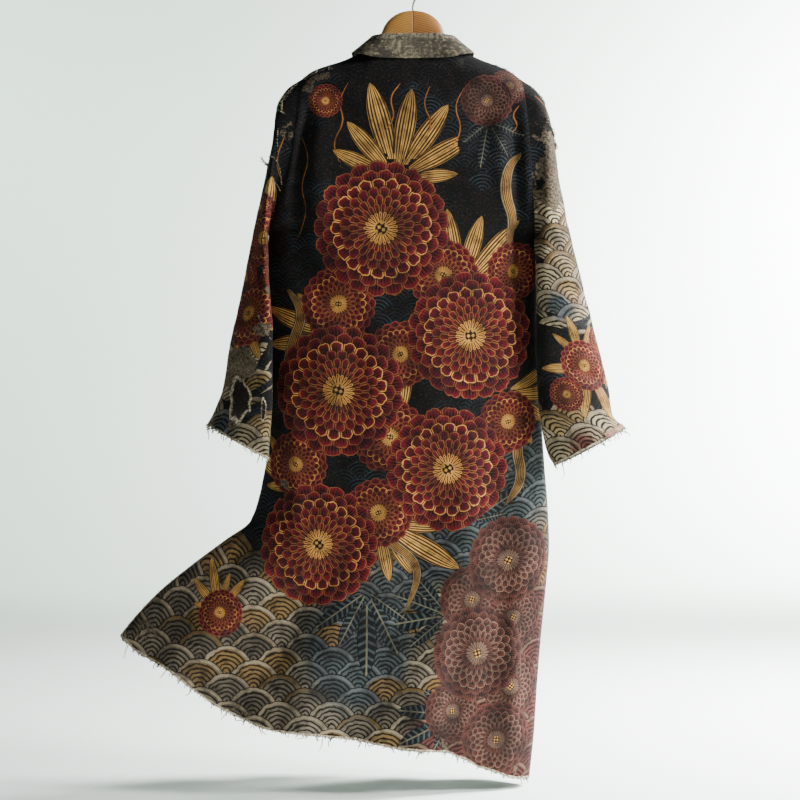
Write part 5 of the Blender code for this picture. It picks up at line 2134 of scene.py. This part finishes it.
@dataclass(frozen=True)
class BandCloth(Finish):
    """Worn plain weave of the collar band, mottled grey and beige.

    Args:
        stripe: width of its faint stripes.
        rib: width of its ribs.
    """

    name: str = "collar cloth"
    roughness: float = 0.9
    relief: float = 0.0006
    stripe: float = 0.011
    rib: float = 0.0022

    def build(self) -> Material:
        """Make the material.

        Returns:
            The finished material.
        """
        board = Board(self.name, self.roughness, Sheen_Weight=0.03, Specular_IOR_Level=0.2)
        p, q, _ = board.parts("weave")
        wear, fold, edge = board.parts("worn")
        flat = board.vector(p, q)
        broad = board.noise(flat, 24, 4, 0.65, space="2D")
        fine = board.noise(flat, 190, 3, 0.7, space="2D")
        streak = board.noise(board.vector(p * 0.25, q), 260, 2, 0.6, space="2D")
        colour = board.mix(broad.step(0.40, 0.64), "0b0a0a", "38332b")
        mottle = (fine * 0.4 + streak * 0.25 + broad * 0.5).step(0.54, 0.72)
        colour = board.mix(mottle * 0.8, colour, "847960")
        rubbed = (1 - abs(fold - 0.47).step(0.02, 0.09)) * fine.step(0.35, 0.65) * 0.42 + wear * 0.5 * fine
        colour = board.mix(rubbed.least(0.85), colour, "9c917b")
        pattern = (p * (1 / self.stripe)).stripe(0.20, 0.34) * broad.step(0.30, 0.60) * 0.35
        colour = board.mix(pattern, colour, "2a2524")
        frayed = 1 - (edge - broad * 0.002).step(0.0004, 0.0014)
        colour = board.mix(frayed, colour, "a99c84")
        rib = (p * (2 * math.pi / self.rib)).sine() * 0.5 + 0.5
        height = fine * 0.4 + rib * 0.2 + pattern * 0.4 + streak * 0.2
        return board.close(colour, height, self.relief)


@dataclass(frozen=True)
class Lining(Finish):
    """Inner side of the cloth: dark thread floats across a plain backing."""

    name: str = "lining"
    roughness: float = 0.93
    relief: float = 0.0004

    def build(self) -> Material:
        """Make the material.

        Returns:
            The finished material.
        """
        board = Board(self.name, self.roughness)
        spots = board.spots()
        broad = board.noise(spots, 14, 3)
        fine = board.noise(spots, 320, 2, 0.7)
        colour = board.mix(broad.step(0.35, 0.70), "1d1918", "332b27")
        colour = board.mix(fine.step(0.52, 0.72) * 0.5, colour, "5f5548")
        return board.close(colour, fine + broad * 0.3, self.relief)


@dataclass(frozen=True)
class RawBand(Finish):
    """Turned-over raw edge, reddish beige and threadbare."""

    name: str = "raw band"
    roughness: float = 0.92
    relief: float = 0.0005

    def build(self) -> Material:
        """Make the material.

        Returns:
            The finished material.
        """
        board = Board(self.name, self.roughness)
        spots = board.spots()
        fine = board.noise(spots, 260, 3, 0.7)
        broad = board.noise(spots, 60, 2)
        colour = board.mix(broad.step(0.35, 0.65), "6b4036", "8a7059")
        colour = board.mix(fine.step(0.50, 0.66) * 0.6, colour, "33201c")
        return board.close(colour, fine, self.relief)


@dataclass(frozen=True)
class Fibre(Finish):
    """Loose threads: mostly beige, some cream, some dark."""

    name: str = "loose threads"
    roughness: float = 0.9
    relief: float = 0.0001

    def build(self) -> Material:
        """Make the material.

        Returns:
            The finished material.
        """
        board = Board(self.name, self.roughness)
        tone, _, _ = board.parts("tone")
        stops = [
            (0, "0f0c0b"), (0.48, "1f1917"), (0.54, "6f624f"),
            (0.78, "958770"), (0.93, "b9ac94"), (1, "5a2a26"),
        ]
        colour = board.node("ShaderNodeValToRGB", {"stops": stops}, {0: tone})
        return board.close(colour, board.noise(board.spots(), 900), self.relief)


@dataclass(frozen=True)
class Wood(Finish):
    """Varnished wood in two halves glued at the middle, the left one paler.

    Args:
        joint: half width of the glue line.
    """

    name: str = "hanger wood"
    roughness: float = 0.34
    relief: float = 0.0003
    joint: float = 0.0006

    def build(self) -> Material:
        """Make the material.

        Returns:
            The finished material.
        """
        board = Board(self.name, self.roughness, Coat_Roughness=0.25)
        spots = board.spots()
        x, y, z = board.split(spots)
        right = x.step(-0.0003, 0.0003)
        bent = board.noise(spots, 9, 2)
        rings = ((z + abs(x) * 0.30 + y * 0.6 + bent * 0.012 + right * 0.031) * 210).fraction()
        grain = (1 - abs(rings - 0.5) * 2) ** 1.5
        pores = board.noise(board.vector(x * 0.12, y, z + abs(x) * 0.30), 620, 3, 0.6)
        pale = board.mix(grain, "b5873f", "925f26")
        brown = board.mix(grain, "9a6a33", "70431a")
        colour = board.mix(right, pale, brown)
        colour = board.mix(pores.step(0.55, 0.75) * 0.45, colour, "5e3a1a")
        worn = board.noise(spots, 30, 3).step(0.55, 0.80)
        colour = board.mix(worn * 0.25, colour, "dab27a")
        seam = 1 - abs(x).step(self.joint * 0.5, self.joint * 1.6)
        colour = board.mix(seam * 0.8, colour, "4a2d14")
        roughness = grain * 0.10 + pores * 0.15 + self.roughness
        return board.close(colour, pores * 0.5 + grain * 0.2 + (1 - seam) * 0.8, self.relief, roughness)


@dataclass(frozen=True)
class Steel(Finish):
    """Dull drawn wire with faint brown stains."""

    name: str = "hook wire"
    roughness: float = 0.34
    relief: float = 0.0001

    def build(self) -> Material:
        """Make the material.

        Returns:
            The finished material.
        """
        board = Board(self.name, self.roughness, Metallic=1)
        spots = board.spots()
        drawn = board.noise(spots, 900, 2)
        stain = board.noise(spots, 90, 3).step(0.52, 0.72)
        colour = board.mix(stain * 0.7, "9c9a95", "6b4f38")
        return board.close(colour, drawn, self.relief, stain * 0.3 + drawn * 0.1 + self.roughness)


@dataclass(frozen=True)
class Backdrop(Finish):
    """Pale seamless paper."""

    name: str = "backdrop"
    roughness: float = 0.95

    def build(self) -> Material:
        """Make the material.

        Returns:
            The finished material.
        """
        board = Board(self.name, self.roughness)
        board.feed(board.shader.inputs["Base Color"], "dce6df")
        return board.material


@dataclass
class Studio:
    """The pale floor and backdrop, the lights and the camera.

    Args:
        floor: height of the floor.
        back: how far behind the coat the backdrop stands.
        front: how far in front of it the paper starts, as y.
        tall: height of its wall.
        bend: radius of its bend into the floor.
        span: half its width.
        camera: where the camera stands.
        sensor: width of the camera's sensor in millimetres.
        view: width that the camera sees at the coat.
    """

    floor: float = -1.425
    back: float = 4.4
    front: float = -4.2
    tall: float = 4.4
    bend: float = 0.9
    span: float = 3.8
    camera: tuple[float, float, float] = (-0.02275, -3.4, -0.75075)
    sensor: float = 36
    view: float = 1.4

    def sweep(self, finish: Material) -> Piece:
        """Bend the paper from the floor up the wall.

        Args:
            finish: the paper's material.

        Returns:
            The new object.
        """
        section = [(self.front, self.floor)]
        for turn in np.linspace(0, math.pi / 2, 25):
            y = self.back - self.bend + self.bend * math.sin(turn)
            section.append((y, self.floor + self.bend * (1 - math.cos(turn))))
        section.append((self.back, self.floor + self.tall))
        points = [(x, y, z) for x in (-self.span, self.span) for y, z in section]
        count = len(section)
        faces = [(k, k + count, k + count + 1, k + 1) for k in range(count - 1)]
        mesh = bpy.data.meshes.new("backdrop")
        mesh.from_pydata(points, [], faces)
        mesh.materials.append(finish)
        mesh.shade_smooth()
        return link("backdrop", mesh)

    def lamp(
        self, name: str, place: Sequence[float], aim: Sequence[float], size: float, power: float,
        colour: Colour = (1.0, 1.0, 1.0), spread: float = 180.0,
    ) -> None:
        """Hang a square soft light.

        Args:
            name: its name.
            place: where it hangs.
            aim: the point that it faces.
            size: its width.
            power: its power in watts.
            colour: its colour.
            spread: how wide its light opens, in degrees.
        """
        data = bpy.data.lights.new(name, "AREA")
        data.energy, data.size, data.color, data.spread = power, size, colour, math.radians(spread)
        lamp = link(name, data)
        lamp.location = place
        run = np.array(aim, float) - np.array(place, float)
        lamp.rotation_euler = (math.atan2(math.hypot(run[0], run[1]), -run[2]), 0, math.atan2(-run[0], run[1]))

    def build(self, finish: Material) -> None:
        """Set up the floor, the lights, the air and the camera.

        Args:
            finish: the paper's material.
        """
        self.sweep(finish)
        self.lamp("key", (3.0, -1.15, 0.8), (0.0, 0.0, -0.75), 0.9, 285)
        self.lamp("fill", (-2.6, -2.8, 0.2), (0.0, 0.0, -0.8), 2.4, 14)
        self.lamp("floor", (2.3, 0.6, 0.9), (1.2, 0.7, -1.4), 1.2, 260, spread=90)
        self.lamp("right wall", (3.0, 2.6, 0.6), (1.9, 4.4, -0.4), 1.2, 480, spread=110)
        self.lamp("left wall", (-2.9, 2.6, 0.9), (-1.5, 4.4, 0.3), 1.2, 45, paint("dcfae8"), 110)
        world = bpy.data.worlds.new("air")
        world.use_nodes = True
        background = world.node_tree.nodes["Background"]
        background.inputs["Color"].default_value = (*paint("e6ecea"), 1.0)
        background.inputs["Strength"].default_value = 0.14
        bpy.context.scene.world = world
        data = bpy.data.cameras.new("camera")
        data.lens, data.sensor_width = self.sensor * -self.camera[1] / self.view, self.sensor
        camera = link("camera", data)
        camera.location = self.camera
        camera.rotation_euler = (math.radians(90), 0, 0)
        bpy.context.scene.camera = camera


@dataclass
class Coat:
    """The whole coat: its cloth, its loose threads and its turned cuff.

    Args:
        raw: how far a turned edge stands off the cloth under it.
        band: width of the right cuff's turned band.
        reach: how many of the cuff's columns it takes, and how many rows.
    """

    raw: float = 0.0012
    band: float = 0.010
    reach: tuple[int, int] = (18, 5)

    def __post_init__(self) -> None:
        """Shape every piece of cloth."""
        self.figured = FiguredCloth().build()
        self.sleeved = FiguredCloth("sleeve cloth", pale=("a89878", "7a6c55")).build()
        self.lining = Lining().build()
        self.fibre = Fibre().build()
        pieces = (
            Panel("back", -1, BACK_DESIGN, BACK_COLUMNS_FINE, 1.0),
            Panel("front_left", 1, LEFT_FRONT_DESIGN, FRONT_COLUMNS_FINE, 2.0, half=-1),
            Panel("front_right", 1, RIGHT_FRONT_DESIGN, FRONT_COLUMNS_FINE, 3.0, half=1),
            Sleeve("sleeve_left", -1, LEFT_SLEEVE_ROWS, LEFT_SLEEVE_DESIGN, 4.0, rips=RIPS),
            Sleeve("sleeve_right", 1, RIGHT_SLEEVE_ROWS, RIGHT_SLEEVE_DESIGN, 5.0, RIGHT_CUFF_DROP),
            CollarBand(),
        )
        self.cloths = {piece.name: piece.cloth() for piece in pieces}

    def build(self) -> None:
        """Make every piece and hide the frame's nodes that each one stands for."""
        band_finish = BandCloth().build()
        trims: dict[str, list[Piece]] = {name: [] for name in self.cloths}
        for name, threads in self.loose().items():
            trims[name].append(threads.build(self.fibre))
        trims["sleeve_right"].append(self.turned_cuff())
        for cut in named(CUT_COLUMNS, CUTS):
            cloth, extra = self.cloths[cut["piece"]], trims[cut["piece"]]
            collar = cut["piece"] == "collar"
            finish = self.sleeved if cloth.wrap else band_finish if collar else self.figured
            piece = cloth.build(finish, band_finish if collar else self.lining)
            dress(piece, cut["nodes"])
            for trim in extra:
                dress(trim)
            for item in (piece, *extra):
                LOG.info("%s: %d faces", item.name, len(item.data.polygons))

    def loose(self) -> dict[str, LooseThreads]:
        """Set threads along every raw edge, rip and worn seam.

        Returns:
            The threads of each piece.
        """
        sets = {}
        for seed, (name, cloth) in enumerate(self.cloths.items()):
            threads = LooseThreads(f"threads_{name}", seed)
            last, down = cloth.points[:, -1], unit(cloth.points[:, -1] - cloth.points[:, -3])
            if cloth.wrap:
                last, down = np.concatenate([last, last[:1]]), np.concatenate([down, down[:1]])
            if name == "collar":
                for end in (0, -1):
                    path = cloth.points[end]
                    threads.along(path, np.broadcast_to([0.0, 0.0, -1.0], path.shape), *COLLAR_THREADS)
            else:
                for row in HEM_THREADS:
                    threads.along(last, down, *row)
            if name in ("back", "front_left"):
                slit = down_stations() >= SLIT_TOP
                out = unit(cloth.points[0, slit] - cloth.points[2, slit])
                for row in SLIT_THREADS:
                    threads.along(cloth.points[0, slit], out, *row)
            if cloth.gone is not None:
                self.rip_threads(threads, cloth)
            for fray in named(FRAY_COLUMNS, FRAYS.get(name, ())):
                path, out = cloth_line(cloth, fray["points"])
                threads.along(path, out, fray["per_metre"], FRAY_SHORTEST, fray["longest"], *FRAY_LEAN)
            sets[name] = threads
        return sets

    def rip_threads(self, threads: LooseThreads, cloth: Cloth) -> None:
        """Fray the rips: threads stand from their rims towards their middles.

        Args:
            threads: the piece's threads, added to.
            cloth: the piece.
        """
        columns, rows = cloth.points.shape[:2]
        i, j = np.nonzero(cloth.gone)
        middle = cloth.points[i, j]
        for a, b, c, d in ((1, 0, 0, 0), (-1, 0, 1, 0), (0, 1, 0, 0), (0, -1, 0, 1)):
            beside = ~cloth.gone[(i - a) % columns, np.clip(j - b, 0, rows - 2)]
            at, down = i[beside] + c, j[beside] + d
            root = cloth.points[at % columns, down]
            far = cloth.points[(at + abs(b)) % columns, down + abs(a)]
            into = unit(middle[beside] - cloth.points[(i[beside] - a) % columns, j[beside] - b])
            for start, end, way in zip(root, far, into):
                threads.along(np.stack([start, end]), np.stack([way, way]), *RIP_THREADS)

    def turned_cuff(self) -> Piece:
        """Lay the turned raw band over the outer half of the right cuff's back.

        Returns:
            The new object.
        """
        cloth = self.cloths["sleeve_right"]
        first, (columns, rows) = len(cloth.points) // 2 - 1, self.reach
        taken = slice(first, first + columns)
        points, normals = cloth.points[taken, -rows:], cloth.normals[taken, -rows:]
        share = np.linspace(0, 1, rows)[None, :, None]
        top = points[:, -1:] + unit(points[:, :1] - points[:, -1:]) * self.band
        points = top * (1 - share) + points[:, -1:] * share + normals * (CLOTH * 0.5 + self.raw)
        points += normals * (0.0006 * np.sin(np.arange(len(points)) * 1.3))[:, None, None]
        band = Cloth("turned_cuff", points, normals, {})
        return band.build(RawBand().build(), self.lining)


def cloth_line(cloth: Cloth, points: Rows) -> tuple[Grid, Grid]:
    """Lay a line seen from behind on a piece of cloth.

    Args:
        cloth: the piece.
        points: x and z of the line's points, in millimetres.

    Returns:
        The line's points on the cloth, and its outward normals.
    """
    stations, places = np.arange(len(points)), np.array(points) * MM
    fine = np.linspace(0, len(points) - 1, 10 * (len(points) - 1) + 1)
    path = np.stack([smooth(stations, places[:, k], fine) for k in (0, 1)], axis=-1)
    seen = cloth.normals[..., 1] < 0.1
    spots, outs = cloth.points[seen], cloth.normals[seen]
    away = np.hypot(path[:, None, 0] - spots[None, :, 0], path[:, None, 1] - spots[None, :, 2])
    nearest = np.argmin(away, axis=1)
    line = np.stack([path[:, 0], spots[nearest, 1] - 0.0004, path[:, 1]], axis=-1)
    return line, unit(outs[nearest] + np.array([0.0, 0.0, -0.6]))


def dress(piece: Piece, nodes: Sequence[str] = ()) -> None:
    """Fix a piece to the coat's one body, and hide the nodes that it stands for.

    Args:
        piece: the object.
        nodes: the nodes that it stands for, none for trim.
    """
    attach(piece, "root")
    if nodes:
        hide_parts(*nodes)


def main() -> None:
    """Build the studio, the hanger and the coat."""
    logging.basicConfig(level=logging.INFO, format="%(message)s")
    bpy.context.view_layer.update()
    Studio().build(Backdrop().build())
    LOG.info("studio")
    wood = WoodenHanger().build(Wood().build())
    dress(wood, ("hanger",))
    hook = WireHook().build(Steel().build())
    dress(hook, ("hook",))
    LOG.info("hanger and hook")
    Coat().build()


if __name__ == "__main__":
    main()
